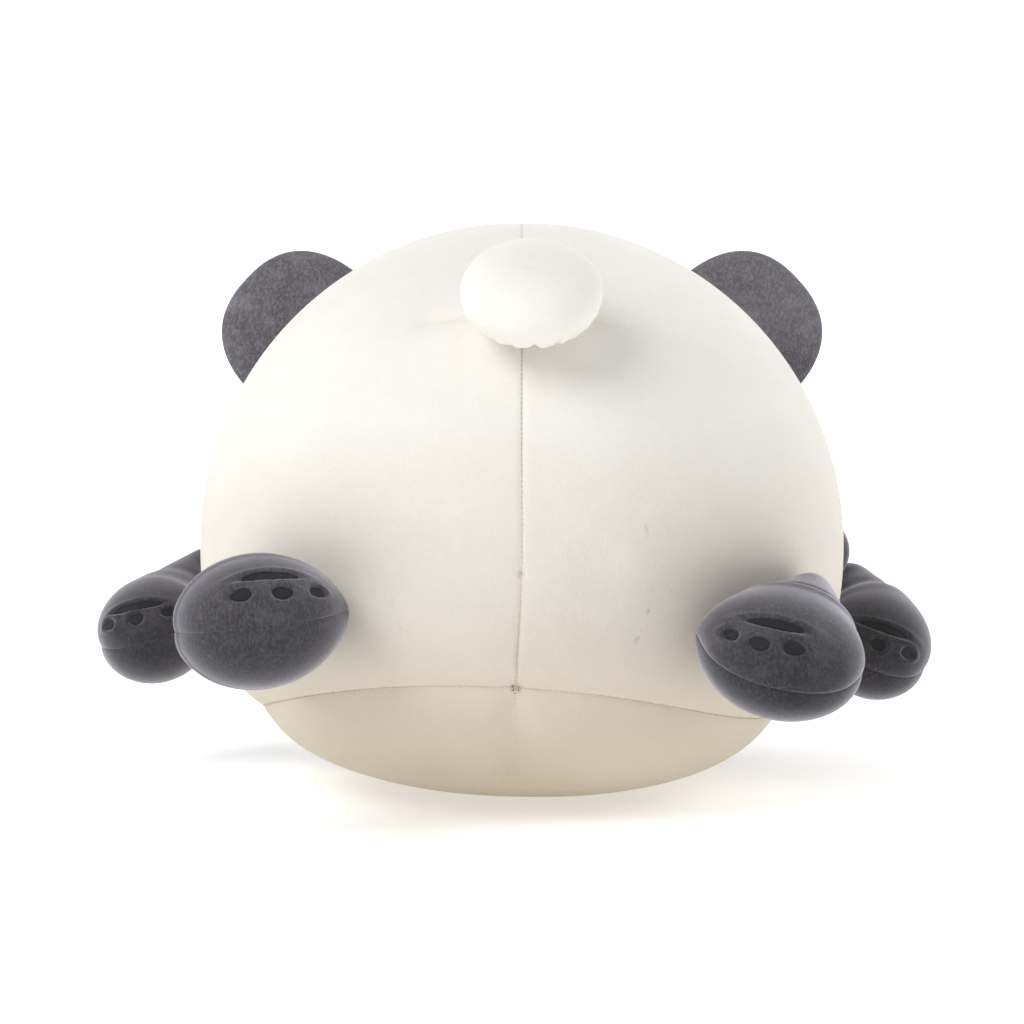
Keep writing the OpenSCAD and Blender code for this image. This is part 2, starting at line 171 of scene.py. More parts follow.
class NodeBuilder:
    """Writes shader nodes for one material."""

    def __init__(self, name: str) -> None:
        """Starts a material with only its output and its main shader.

        Args:
            name: The material's name.
        """
        self.material = bpy.data.materials.new(name)
        self.material.use_nodes = True
        self.tree = self.material.node_tree
        self.tree.nodes.clear()
        output = self.tree.nodes.new("ShaderNodeOutputMaterial")
        self.shader = self.tree.nodes.new("ShaderNodeBsdfPrincipled")
        self.link(self.shader.outputs[0], output.inputs[0])
        place = self.tree.nodes.new("ShaderNodeTexCoord")
        self.place = place.outputs["Object"]

    def link(self, source: bpy.types.NodeSocket, target: bpy.types.NodeSocket) -> None:
        """Joins two sockets."""
        self.tree.links.new(source, target)

    def noise(
        self, scale: float, detail: float = 2.0, roughness: float = 0.5, stretch: Sequence[float] = (1, 1, 1)
    ) -> bpy.types.NodeSocket:
        """Noise in the piece's own space.

        Args:
            scale: Waves a metre.
            detail: Octaves.
            roughness: Weight of the finer octaves.
            stretch: Scale along each axis.

        Returns:
            The noise's value socket.
        """
        place = self.place
        if tuple(stretch) != (1, 1, 1):
            mapping = self.tree.nodes.new("ShaderNodeMapping")
            mapping.inputs["Scale"].default_value = stretch
            self.link(place, mapping.inputs[0])
            place = mapping.outputs[0]
        node = self.tree.nodes.new("ShaderNodeTexNoise")
        node.inputs["Scale"].default_value = scale
        node.inputs["Detail"].default_value = detail
        node.inputs["Roughness"].default_value = roughness
        self.link(place, node.inputs["Vector"])
        return node.outputs["Fac"]

    def ramp(
        self, value: bpy.types.NodeSocket, low: float, high: float, dark: Sequence[float], light: Sequence[float]
    ) -> bpy.types.NodeSocket:
        """Colour between two tones where a value runs from low to high.

        Args:
            value: The value's socket.
            low: Where the dark tone ends.
            high: Where the light tone starts.
            dark: The tone below.
            light: The tone above.

        Returns:
            The colour's socket.
        """
        node = self.tree.nodes.new("ShaderNodeValToRGB")
        node.color_ramp.elements[0].position = low
        node.color_ramp.elements[1].position = high
        node.color_ramp.elements[0].color = (*dark, 1)
        node.color_ramp.elements[1].color = (*light, 1)
        self.link(value, node.inputs[0])
        return node.outputs[0]

    def blend(
        self, factor: bpy.types.NodeSocket | float, a: bpy.types.NodeSocket, b: bpy.types.NodeSocket, mode: str = "MIX"
    ) -> bpy.types.NodeSocket:
        """Mixes two colours.

        Args:
            factor: Share of the second, or the strength of the mode.
            a: First colour's socket.
            b: Second colour's socket.
            mode: How they combine.

        Returns:
            The colour's socket.
        """
        node = self.tree.nodes.new("ShaderNodeMix")
        node.data_type = "RGBA"
        node.blend_type = mode
        if isinstance(factor, float):
            node.inputs[0].default_value = factor
        else:
            self.link(factor, node.inputs[0])
        self.link(a, node.inputs[6])
        self.link(b, node.inputs[7])
        return node.outputs[2]

    def sums(self, a: bpy.types.NodeSocket, b: bpy.types.NodeSocket | float, operation: str) -> bpy.types.NodeSocket:
        """One step of arithmetic on two values.

        Args:
            a: First value's socket.
            b: Second value, a socket or a number.
            operation: The node's operation.

        Returns:
            The value's socket.
        """
        node = self.tree.nodes.new("ShaderNodeMath")
        node.operation = operation
        self.link(a, node.inputs[0])
        if isinstance(b, float):
            node.inputs[1].default_value = b
        else:
            self.link(b, node.inputs[1])
        return node.outputs[0]

    def relief(self, *layers: tuple[bpy.types.NodeSocket, float, float]) -> None:
        """Stacks bumps on the shader.

        Args:
            layers: For each bump a height socket, its strength and its depth in metres.
        """
        under = None
        for height, strength, depth in layers:
            node = self.tree.nodes.new("ShaderNodeBump")
            node.inputs["Strength"].default_value = strength
            node.inputs["Distance"].default_value = depth
            self.link(height, node.inputs["Height"])
            if under is not None:
                self.link(under, node.inputs["Normal"])
            under = node.outputs[0]
        self.link(under, self.shader.inputs["Normal"])


@dataclass(frozen=True)
class PileFinish:
    """Short napped pile cloth: soft patches where the nap lies differently, fine fibre grain, a sheen, and painted
    shade low down and painted light high up.
    """

    name: str
    base: tuple[float, float, float]
    shade: tuple[float, float, float]
    brushed: tuple[float, float, float]
    brushed_share: float
    sheen: float
    sheen_tint: tuple[float, float, float]
    grain: float
    # The next three: painted shade multiplied in low on the body, painted light multiplied in high up, and the span of
    # height, times 4.5, over which the one turns into the other.
    painted_shade_low: tuple[float, float, float]
    painted_light_high: tuple[float, float, float]
    painted_light_span: tuple[float, float]
    roughness: float = 0.9

    def material(self) -> bpy.types.Material:
        """Builds the material.

        Returns:
            The finished material.
        """
        made = NodeBuilder(self.name)
        patches = made.noise(22, 3, 0.55)
        colour = made.ramp(patches, 0.36, 0.66, self.shade, self.base)
        strokes = made.noise(70, 4, 0.62, (1.0, 0.7, 1.5))
        tufts = made.noise(850, 3, 0.65, (1.0, 1.0, 0.6))
        light = made.tree.nodes.new("ShaderNodeRGB")
        light.outputs[0].default_value = (*self.brushed, 1)
        for pattern, low, high in ((strokes, 0.5, 0.72), (tufts, 0.44, 0.64)):
            brushed = made.ramp(pattern, low, high, (0, 0, 0), (self.brushed_share,) * 3)
            colour = made.blend(brushed, colour, light.outputs[0])
        # Painted light and shade: the colour is multiplied by a ramp over height above the floor, darker low down
        # where the floor's shade falls and, for the charcoal, lighter high up where the light falls on the ears.
        split = made.tree.nodes.new("ShaderNodeSeparateXYZ")
        made.link(made.place, split.inputs[0])
        height = made.sums(split.outputs["Z"], 4.5, "MULTIPLY")
        tone = made.ramp(height, *self.painted_light_span, self.painted_shade_low, self.painted_light_high)
        colour = made.blend(1.0, colour, tone, "MULTIPLY")
        fibre = made.noise(2100, 2, 0.6)
        low = tuple([1 - self.grain] * 3)
        high = tuple([1 + self.grain * 0.4] * 3)
        colour = made.blend(1.0, colour, made.ramp(fibre, 0.3, 0.7, low, high), "MULTIPLY")
        made.link(colour, made.shader.inputs["Base Color"])
        made.relief((tufts, 0.35, 0.0005), (fibre, 0.4, 0.0003))
        made.shader.inputs["Roughness"].default_value = self.roughness
        made.shader.inputs["Specular IOR Level"].default_value = 0.12
        made.shader.inputs["Sheen Weight"].default_value = self.sheen
        made.shader.inputs["Sheen Roughness"].default_value = 0.42
        made.shader.inputs["Sheen Tint"].default_value = (*self.sheen_tint, 1)
        return made.material


@dataclass(frozen=True)
class EmbroideryFinish:
    """Dense satin stitch: parallel threads with a low gloss."""

    name: str
    base: tuple[float, float, float]
    gap: tuple[float, float, float]
    pitch: float = 0.00035

    def material(self) -> bpy.types.Material:
        """Builds the material.

        Returns:
            The finished material.
        """
        made = NodeBuilder(self.name)
        wave = made.tree.nodes.new("ShaderNodeTexWave")
        wave.bands_direction = "DIAGONAL"
        wave.inputs["Scale"].default_value = 0.314 / self.pitch
        wave.inputs["Distortion"].default_value = 1.2
        wave.inputs["Detail"].default_value = 1.0
        made.link(made.place, wave.inputs["Vector"])
        threads = wave.outputs["Fac"]
        colour = made.ramp(threads, 0.15, 0.6, self.gap, self.base)
        colour = made.blend(1.0, colour, made.ramp(made.noise(300), 0.3, 0.7, (0.85,) * 3, (1.1,) * 3), "MULTIPLY")
        made.link(colour, made.shader.inputs["Base Color"])
        made.relief((threads, 0.6, 0.00025))
        made.shader.inputs["Roughness"].default_value = 0.62
        made.shader.inputs["Specular IOR Level"].default_value = 0.3
        made.shader.inputs["Sheen Weight"].default_value = 0.15
        made.shader.inputs["Sheen Roughness"].default_value = 0.5
        return made.material


@dataclass(frozen=True)
class FibreFinish:
    """Loose filling or sewing thread: pale, matt and uneven."""

    name: str
    base: tuple[float, float, float]
    shade: tuple[float, float, float]
    scale: float

    def material(self) -> bpy.types.Material:
        """Builds the material.

        Returns:
            The finished material.
        """
        made = NodeBuilder(self.name)
        grain = made.noise(self.scale, 4, 0.6)
        made.link(made.ramp(grain, 0.3, 0.7, self.shade, self.base), made.shader.inputs["Base Color"])
        made.relief((grain, 0.5, 0.3 / self.scale))
        made.shader.inputs["Roughness"].default_value = 0.85
        made.shader.inputs["Specular IOR Level"].default_value = 0.2
        return made.material


@dataclass(frozen=True)
class PlasticFinish:
    """Moulded plastic: an even gloss with a faint moulded texture."""

    name: str
    base: tuple[float, float, float]
    roughness: float

    def material(self) -> bpy.types.Material:
        """Builds the material.

        Returns:
            The finished material.
        """
        made = NodeBuilder(self.name)
        haze = made.noise(160, 3, 0.6)
        light = tuple(min(1.0, c * 1.15 + 0.002) for c in self.base)
        made.link(made.ramp(haze, 0.35, 0.65, self.base, light), made.shader.inputs["Base Color"])
        made.relief((made.noise(900, 2), 0.06, 0.00008))
        made.shader.inputs["Roughness"].default_value = self.roughness
        made.shader.inputs["Coat Weight"].default_value = 0.4
        made.shader.inputs["Coat Roughness"].default_value = 0.06
        return made.material


Finish = PileFinish | EmbroideryFinish | FibreFinish | PlasticFinish

FINISHES: dict[Slot, Finish] = {
    Slot.CREAM: PileFinish(
        "cream pile", (0.9, 0.875, 0.825), (0.87, 0.84, 0.785), (0.92, 0.9, 0.86), 0.3, 0.25,
        # Then sheen tint, grain, painted shade low on the body, no painted light at the top, and the height span of
        # that ramp.
        (1.0, 0.97, 0.92), 0.05, (0.62, 0.55, 0.45), (1.0, 1.0, 1.0), (0.03, 0.8)
    ),
    Slot.CHARCOAL: PileFinish(
        "charcoal pile", (0.095, 0.091, 0.1), (0.072, 0.069, 0.077), (0.2, 0.192, 0.21), 0.45, 1.0,
        # Then sheen tint, grain, painted shade on the lower limbs, painted light on the ears and other high parts, and
        # the height span of that ramp.
        (0.85, 0.83, 0.9), 0.3, (0.4, 0.4, 0.42), (1.7, 1.67, 1.7), (0.3, 0.92)
    ),
    Slot.PAD: EmbroideryFinish("pad satin stitch", (0.016, 0.0155, 0.018), (0.005, 0.005, 0.006)),
    Slot.FILLING: FibreFinish("polyester filling", (0.88, 0.88, 0.88), (0.7, 0.7, 0.7), 260.0),
    Slot.THREAD: FibreFinish("sewing thread", (0.8, 0.72, 0.59), (0.64, 0.56, 0.44), 2600.0),
    Slot.EYE: PlasticFinish("eye bead", (0.006, 0.006, 0.007), 0.12),
    Slot.WASHER: PlasticFinish("washer plastic", (0.82, 0.82, 0.8), 0.4),
}


class Wardrobe:
    """Makes each material once and dresses pieces in it."""

    def __init__(self) -> None:
        """Starts with no materials made."""
        self.made: dict[Slot, bpy.types.Material] = {}

    def dress(self, piece: bpy.types.Object, slot: Slot) -> None:
        """Gives a piece the material of its slot.

        Args:
            piece: The mesh object.
            slot: Which finish it takes.
        """
        if slot not in self.made:
            self.made[slot] = FINISHES[slot].material()
        piece.data.materials.clear()
        piece.data.materials.append(self.made[slot])


WARDROBE = Wardrobe()


def stand_for(piece: bpy.types.Object, slot: Slot, node: str) -> bpy.types.Object:
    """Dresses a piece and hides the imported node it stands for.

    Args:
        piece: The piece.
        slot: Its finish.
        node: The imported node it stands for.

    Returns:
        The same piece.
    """
    WARDROBE.dress(piece, slot)
    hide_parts(node)
    return piece


# ---------------------------------------------------------------- meshes


def object_from(name: str, points: Array, faces: list[tuple[int, ...]]) -> bpy.types.Object:
    """A smooth mesh object with its doubled points merged and its faces turned outward.

    Args:
        name: The object's name.
        points: The points, one row each.
        faces: Point numbers of each face.

    Returns:
        The new object.
    """
    mesh = bpy.data.meshes.new(name)
    mesh.from_pydata([tuple(p) for p in points], [], faces)
    work = bmesh.new()
    work.from_mesh(mesh)
    bmesh.ops.remove_doubles(work, verts=work.verts, dist=2e-6)
    bmesh.ops.dissolve_degenerate(work, edges=work.edges, dist=1e-7)
    bmesh.ops.recalc_face_normals(work, faces=work.faces)
    work.to_mesh(mesh)
    work.free()
    mesh.polygons.foreach_set("use_smooth", [True] * len(mesh.polygons))
    piece = bpy.data.objects.new(name, mesh)
    bpy.context.scene.collection.objects.link(piece)
    return piece


def grid_faces(rows: int, cols: int, wrap: bool = False, start: int = 0) -> list[tuple[int, ...]]:
    """Quads of a grid of points.

    Args:
        rows: How many rows.
        cols: How many points in a row.
        wrap: Whether the last column joins the first.
        start: Number of the first point.

    Returns:
        The faces.
    """
    last = cols if wrap else cols - 1
    return [
        (start + i * cols + j, start + (i + 1) * cols + j, start + (i + 1) * cols + (j + 1) % cols,
         start + i * cols + (j + 1) % cols)
        for i in range(rows - 1)
        for j in range(last)
    ]


def apply_modifiers(piece: bpy.types.Object) -> None:
    """Turns a piece's modifiers into its mesh.

    Args:
        piece: The piece.
    """
    bpy.context.view_layer.update()
    graph = bpy.context.evaluated_depsgraph_get()
    mesh = bpy.data.meshes.new_from_object(piece.evaluated_get(graph))
    piece.modifiers.clear()
    piece.data = mesh
    mesh.polygons.foreach_set("use_smooth", [True] * len(mesh.polygons))


def cloth_sheet(name: str, grid: Array, thickness: float, wrap: bool = False) -> bpy.types.Object:
    """A closed sheet of cloth whose outer face is a grid of points.

    Args:
        name: The piece's name.
        grid: Points as rows by columns by three; a row may shrink to one point.
        thickness: The cloth's thickness, laid inward.
        wrap: Whether the columns close round.

    Returns:
        The new piece.
    """
    rows, cols = grid.shape[:2]
    piece = object_from(name, grid.reshape(-1, 3), grid_faces(rows, cols, wrap))
    centre = grid.reshape(-1, 3).mean(0)
    mesh = piece.data
    sample = list(mesh.polygons)[:: max(1, len(mesh.polygons) // 900)]
    out = sum((p.center - Vector(centre)).dot(p.normal) * p.area for p in sample)
    if out < 0:
        mesh.flip_normals()
    solid = piece.modifiers.new("thickness", "SOLIDIFY")
    solid.thickness = thickness
    solid.offset = -1
    apply_modifiers(piece)
    return piece


def cloth_between(name: str, outer: Array, inner: Array) -> bpy.types.Object:
    """A closed sheet of cloth between two grids of points.

    Args:
        name: The piece's name.
        outer: Outer face as rows by columns by three.
        inner: Inner face, the same shape.

    Returns:
        The new piece.
    """
    rows, cols = outer.shape[:2]
    total = rows * cols
    face = grid_faces(rows, cols)
    faces = face + [tuple(total + i for i in f[::-1]) for f in face]
    loop = [*range(cols), *range(2 * cols - 1, total, cols)]
    loop += [*range(total - 2, total - cols - 1, -1), *range(total - 2 * cols, 0, -cols)]
    faces += [(a, b, b + total, a + total) for a, b in zip(loop, loop[1:] + loop[:1])]
    return object_from(name, np.concatenate([outer.reshape(-1, 3), inner.reshape(-1, 3)]), faces)


def ring_solid(name: str, rings: Array) -> bpy.types.Object:
    """A closed solid through rings of points, capped at both ends.

    Args:
        name: The piece's name.
        rings: Points as rings by points by three.

    Returns:
        The new piece.
    """
    rows, cols = rings.shape[:2]
    faces = grid_faces(rows, cols, True)
    faces.append(tuple(range(cols)))
    faces.append(tuple(range((rows - 1) * cols, rows * cols)))
    return object_from(name, rings.reshape(-1, 3), faces)


def bead_chain(name: str, centres: Array, along: Array, up: Array, length: float, width: float) -> bpy.types.Object:
    """Many small stitches as one piece, each a rounded bar.

    Args:
        name: The piece's name.
        centres: Middle of each stitch.
        along: The way each stitch runs.
        up: The way each stitch stands off the cloth.
        length: A stitch's length.
        width: A stitch's thickness.

    Returns:
        The new piece.
    """
    along = unit(along)
    side = unit(np.cross(up, along))
    up = np.cross(along, side)
    stations = [(-0.5, 0.0), (-0.42, 0.62), (-0.2, 1.0), (0.2, 1.0), (0.42, 0.62), (0.5, 0.0)]
    ring = 6
    points: list[Array] = []
    faces: list[tuple[int, ...]] = []
    for c, a, s, u in zip(centres, along, side, up):
        start = len(points)
        for k, r in stations:
            if r == 0:
                points.append(c + a * k * length)
                continue
            for j in range(ring):
                t = 2 * math.pi * j / ring
                arch = u * width * 0.35 * (1 - (2 * k) ** 2)
                points.append(c + a * k * length + (s * math.cos(t) + u * math.sin(t)) * r * width / 2 + arch)
        first, tip = start + 1, start + 1 + ring * 4
        for j in range(ring):
            n = (j + 1) % ring
            faces.append((start, first + n, first + j))
            faces.append((tip, tip - ring + j, tip - ring + n))
            for k in range(3):
                b = first + k * ring
                faces.append((b + j, b + n, b + ring + n, b + ring + j))
    mesh = bpy.data.meshes.new(name)
    mesh.from_pydata([tuple(p) for p in points], [], faces)
    mesh.polygons.foreach_set("use_smooth", [True] * len(mesh.polygons))
    piece = bpy.data.objects.new(name, mesh)
    bpy.context.scene.collection.objects.link(piece)
    return piece


@dataclass
class Inflation:
    """Blows a closed cloth form up under pressure and remembers how each point moved."""

    pressure: float
    cap: float
    start_inset: float = 1.5 * MM
    frames: int = 20
    stiffness: float = 15.0
    bending: float = 0.5
    shrink: float = 0.0
    tree: KDTree | None = field(default=None, repr=False)
    moved: Array | None = field(default=None, repr=False)

    def run(self, points: Array, faces: list[tuple[int, ...]], pinned: Array) -> Inflation:
        """Simulates the cloth once.

        Args:
            points: Points of the closed form.
            faces: Its faces.
            pinned: True where sewing holds a point still.

        Returns:
            Itself, ready to be asked how far the cloth moved.
        """
        piece = object_from("form", points, faces)
        rest = np.array([v.co for v in piece.data.vertices])
        normals = np.array([v.normal for v in piece.data.vertices])
        start = rest - normals * self.start_inset
        hold = KDTree(len(points))
        for i, p in enumerate(points):
            hold.insert(p, i)
        hold.balance()
        group = piece.vertex_groups.new(name="sewn")
        group.add([i for i, p in enumerate(rest) if pinned[hold.find(p)[1]]], 1.0, "REPLACE")
        piece.data.vertices.foreach_set("co", start.ravel())
        cloth = piece.modifiers.new("cloth", "CLOTH")
        settings = cloth.settings
        settings.quality = 6
        settings.mass = 0.25
        settings.tension_stiffness = self.stiffness
        settings.compression_stiffness = self.stiffness
        settings.shear_stiffness = self.stiffness / 3
        settings.bending_stiffness = self.bending
        settings.shrink_min = self.shrink
        settings.use_pressure = True
        settings.uniform_pressure_force = self.pressure
        settings.vertex_group_mass = group.name
        settings.effector_weights.gravity = 0
        cloth.collision_settings.use_collision = False
        cloth.point_cache.frame_start = 1
        cloth.point_cache.frame_end = self.frames
        for step in range(1, self.frames + 1):
            bpy.context.scene.frame_set(step)
        graph = bpy.context.evaluated_depsgraph_get()
        end = np.array([v.co for v in piece.evaluated_get(graph).data.vertices])
        bpy.context.scene.frame_set(1)
        self.moved = end - rest
        far = np.linalg.norm(self.moved, axis=1, keepdims=True)
        self.moved = self.moved * np.minimum(1, self.cap / np.maximum(far, 1e-9))
        self.tree = KDTree(len(rest))
        for i, p in enumerate(rest):
            self.tree.insert(p, i)
        self.tree.balance()
        bpy.data.objects.remove(piece)
        return self

    def even_out(self, middle: Array, reach: float) -> None:
        """Evens the cloth's movement out round a place where the form's rings crowd together.

        Args:
            middle: The place.
            reach: How far from it the movement is evened out.
        """
        near = self.tree.find_range(middle, reach)
        share = np.array([float(ease(1.3 * (1 - d / reach))) for _, _, d in near])[:, None]
        where = [n for _, n, _ in near]
        rim = [n for _, n, d in near if d > 0.6 * reach]
        self.moved[where] = mix(self.moved[where], self.moved[rim].mean(0), share)

    def shift(self, points: Array) -> Array:
        """How far the cloth moved at any points near the form, smoothed between the form's own points.

        Args:
            points: The points.

        Returns:
            One movement a point.
        """
        out = np.zeros_like(points)
        for i, p in enumerate(points):
            total = 0.0
            for _, n, d in self.tree.find_n(p, 6):
                weight = 1.0 / (d * d + 4e-6)
                out[i] += weight * self.moved[n]
                total += weight
            out[i] /= total
        return out


# ---------------------------------------------------------------- the body's form


@dataclass(frozen=True)
class Lump:
    """A padded form of rings along Y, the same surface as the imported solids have."""

    y: float
    z: float
    half_w: float
    up: float
    down: float
    back: float
    front: float
    low_power: float
    under_power: float
    side_power: float = 2.2

    def points(self, a: Array, v: Array) -> Array:
        """Points at stations a and girth angles v, in degrees.

        Args:
            a: Stations.
            v: Girth angles.

        Returns:
            The points.
        """
        q = np.sin(np.radians(a))
        cos, sin = np.cos(np.radians(v)), np.sin(np.radians(v))
        side = dome(q, self.side_power)
        low = sin < 0
        under = np.where(low, dome(q, self.under_power) * self.down, side * self.up)
        power = np.where(low, 2 / self.low_power, 1.0)
        x = side * self.half_w * np.sign(cos) * np.abs(cos) ** power
        y = self.y + q * np.where(q > 0, self.back, self.front)
        z = np.maximum(0, self.z + under * np.sign(sin) * np.abs(sin) ** power)
        return np.stack([x, y, z], -1)

    def normals(self, a: Array, v: Array) -> Array:
        """Outward directions.

        Args:
            a: Stations.
            v: Girth angles.

        Returns:
            One direction a point.
        """
        held = np.clip(a, -89.6, 89.6)
        across = self.points(held, v - 0.3) - self.points(held, v + 0.3)
        out = unit(np.cross(across, self.points(held + 0.3, v) - self.points(held - 0.3, v)))
        pole = np.stack([0 * a, np.sign(a), 0 * a], -1)
        return unit(mix(out, pole, ease((np.abs(a) - 84) / 5)[..., None]))


@dataclass
class SeamLine:
    """A sewn line on the body: a valley with small puckers beside it, and the thread that shows in it."""

    name: str
    points: Array
    normals: Array
    depth: float = 1.5 * MM
    width: float = 3.0 * MM
    soft_depth: float = 1.4 * MM
    soft_width: float = 16 * MM
    pucker: float = 0.28 * MM
    pitch: float = 2.3 * MM
    fade_start: float = 0.0
    fade_end: float = 0.0
    thread: bool = True

    def __post_init__(self) -> None:
        """Measures the line and readies it to be searched."""
        steps = np.linalg.norm(np.diff(self.points, axis=0), axis=1)
        self.arc = np.concatenate([[0], np.cumsum(steps)])
        self.length = self.arc[-1]
        self.tree = KDTree(len(self.points))
        for i, p in enumerate(self.points):
            self.tree.insert(p, i)
        self.tree.balance()

    def strength(self, arc: Array) -> Array:
        """How deep the line is drawn in at each place along it, from 0 to 1.

        Args:
            arc: Distances along the line.

        Returns:
            The strength at each.
        """
        out = np.ones_like(arc)
        if self.fade_start:
            out = out * ease(arc / self.fade_start)
        if self.fade_end:
            out = out * ease((self.length - arc) / self.fade_end)
        return out

    def relief(self, points: Array) -> Array:
        """How far the line draws each point in or lets it out, in metres.

        Args:
            points: Points on the plain form.

        Returns:
            Heights along the surface's normal.
        """
        near = [self.tree.find(p) for p in points]
        d = np.array([n[2] for n in near])
        arc = self.arc[[n[1] for n in near]]
        strong = self.strength(arc)
        valley = -self.depth * np.exp(-d / self.width) - self.soft_depth * bell(d, self.soft_width)
        pucker = self.pucker * ripple(arc, len(self.name)) * np.exp(-d / (4 * MM)) * (1 - np.exp(-d / (1 * MM)))
        return strong * (valley + pucker)

    def even(self, pitch: float) -> tuple[Array, Array, Array]:
        """Evenly spaced places along the line: their points, directions and outward normals.

        Args:
            pitch: The distance between two places.

        Returns:
            Points, directions along the line, and normals.
        """
        count = max(2, int(self.length / pitch))
        at = (np.arange(count) + 0.5) * self.length / count
        pts = np.stack([np.interp(at, self.arc, self.points[:, k]) for k in range(3)], 1)
        nrm = unit(np.stack([np.interp(at, self.arc, self.normals[:, k]) for k in range(3)], 1))
        ahead = np.stack([np.interp(at + 1e-4, self.arc, self.points[:, k]) for k in range(3)], 1)
        back = np.stack([np.interp(at - 1e-4, self.arc, self.points[:, k]) for k in range(3)], 1)
        keep = (self.strength(at) > 0.25) & (at > 2 * MM)
        return pts[keep], unit(ahead - back)[keep], nrm[keep]


@dataclass
class BodyForm:
    """The torso and head as one stuffed form: the plain surface, its seams, and how filling and sewing shape it."""

    cloth: float = 1.8 * MM
    plump: float = 2.0 * MM
    twist: float = 3.2
    seam_drop: float = 47 * MM
    seam_arch: float = 30 * MM
    puff_at: tuple[float, float, float] = (-0.143, -0.058, 0.104)
    puff: float = 22 * MM
    puff_width: float = 24 * MM
    band_side: float = -24.0
    face_rim: float = -34.0
    chin_side: float = -28.0
    tail_station: float = 50.0
    pressure: float = 4.0
    most_puff: float = 6 * MM
    even_reach: float = 42 * MM
    seam_hold: float = 2.6 * MM
    deepest: float = 5 * MM
    puff_front: tuple[float, float] = (-34 * MM, 14 * MM)
    floor_ease: float = 20 * MM

    def __post_init__(self) -> None:
        """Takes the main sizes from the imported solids."""
        low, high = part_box("back_panel_left")
        face_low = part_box("face_panel")[0]
        crown_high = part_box("crown_left")[1]
        half_w = 150 * MM
        axis_z = high.z - half_w
        rump = high.y - 15 * MM
        self.torso = Lump(15 * MM, axis_z, half_w, half_w, axis_z + 3 * MM, rump, 190 * MM, 2.35, 2.5)
        head_z = axis_z + 3 * MM
        self.head = Lump(
            -150 * MM, head_z, crown_high.x, crown_high.z - head_z, axis_z + 4 * MM, 110 * MM,
            -150 * MM - face_low.y, 2.0, 2.2
        )
        self.neck_y = -100 * MM
        self.torso_neck = math.degrees(math.asin((self.neck_y - self.torso.y) / self.torso.front))
        self.head_neck = math.degrees(math.asin((self.neck_y - self.head.y) / self.head.back))
        self.seam_tip = self._find_tip()
        self.seams = self._seams()
        self.seat_rows = np.linspace(0, 1, 230) ** 2.3
        self.inflation: Inflation | None = None

    def seam_girth(self, a: Array) -> Array:
        """Girth angle of the belly seam at each station.

        Args:
            a: Stations.

        Returns:
            The seam's girth angle on the left side.
        """
        q = np.sin(np.radians(a))
        drop = self.seam_drop + self.seam_arch * dome(q, 2.2) ** 2
        k = drop / np.maximum(1e-9, dome(q, self.torso.under_power) * self.torso.down)
        return np.where(k >= 1, -90, -np.degrees(np.arcsin(np.minimum(1, k) ** (self.torso.low_power / 2))))

    def band_edge(self, v: Array) -> Array:
        """Station of the shoulder band's rear edge, further forward over the spine."""
        return -14 - 13 * np.maximum(0, np.sin(np.radians(v))) ** 2

    def _find_tip(self) -> float:
        """The station where the belly seam crosses the rump's middle."""
        a = np.linspace(40, 89, 49001)
        return float(a[self.seam_girth(a) <= -90][0])

    def line(self, name: str, lump: Lump, a: Array, v: Array, **kind: float | bool) -> SeamLine:
        """A seam through stations a and girth angles v of a lump."""
        a, v = np.broadcast_arrays(np.asarray(a, float), np.asarray(v, float))
        return SeamLine(name, lump.points(a, v), lump.normals(a, v), **kind)

    def _seams(self) -> list[SeamLine]:
        """Every sewn line of the torso and head.

        Returns:
            The lines.
        """
        t, h, tip = self.torso, self.head, self.seam_tip
        over = np.linspace(self.tail_station, 89.9, 500)
        down = np.linspace(89.9, tip, 160)
        centre_a = np.concatenate([over, down])
        centre_v = np.concatenate([np.full(500, 90.0), np.full(160, -90.0)])
        side = tip - (tip - self.band_edge(-90.0)) * (np.linspace(0, 1, 600) ** 2)
        seams = [
            self.line("centre_back", t, centre_a, centre_v, depth=1.1 * MM, width=1.5 * MM, soft_depth=0.7 * MM,
                      soft_width=16 * MM),
            self.line("spine", t, np.linspace(self.band_edge(90.0), self.tail_station, 300), 90.0, depth=0.4 * MM,
                      width=1.5 * MM, soft_depth=0.3 * MM, pucker=0.1 * MM, thread=False),
            self.line("belly_left", t, side, self.seam_girth(side), soft_depth=2.2 * MM, soft_width=14 * MM),
            self.line("belly_right", t, side, -180 - self.seam_girth(side), soft_depth=2.2 * MM, soft_width=14 * MM),
            self.line("seat_dart", t, np.linspace(tip, 42, 160), -90.0, depth=1.2 * MM, width=2.4 * MM,
                      soft_depth=3.2 * MM, soft_width=9 * MM, fade_end=20 * MM),
            self.line("tail_dart_left", t, np.linspace(46.6, 44.3, 60), np.linspace(79, 64, 60), depth=1.4 * MM,
                      soft_depth=1.6 * MM, soft_width=7 * MM, fade_end=12 * MM, thread=False),
            self.line("tail_dart_right", t, np.linspace(46.4, 43.6, 60), np.linspace(106, 120, 60), depth=1.4 * MM,
                      soft_depth=1.6 * MM, soft_width=7 * MM, fade_end=12 * MM, thread=False),
        ]
        ring = np.linspace(0, 360, 721)
        seams.append(self.line("band_rear", t, self.band_edge(ring), ring, soft_depth=2.0 * MM))
        seams.append(self.line("neck", t, self.torso_neck, ring, depth=1.0 * MM, soft_depth=0.0))
        for name, v in (("band_left", self.band_side), ("band_right", 180 - self.band_side)):
            seams.append(self.line(name, t, np.linspace(self.band_edge(v), self.torso_neck, 120), v))
        for name, v in (("chin_left", self.chin_side), ("chin_right", 180 - self.chin_side), ("crown", 90.0)):
            seams.append(self.line(name, h, np.linspace(self.head_neck, self.face_rim, 160), v))
        seams.append(self.line("face_rim", h, self.face_rim, ring, soft_depth=1.8 * MM))
        return seams

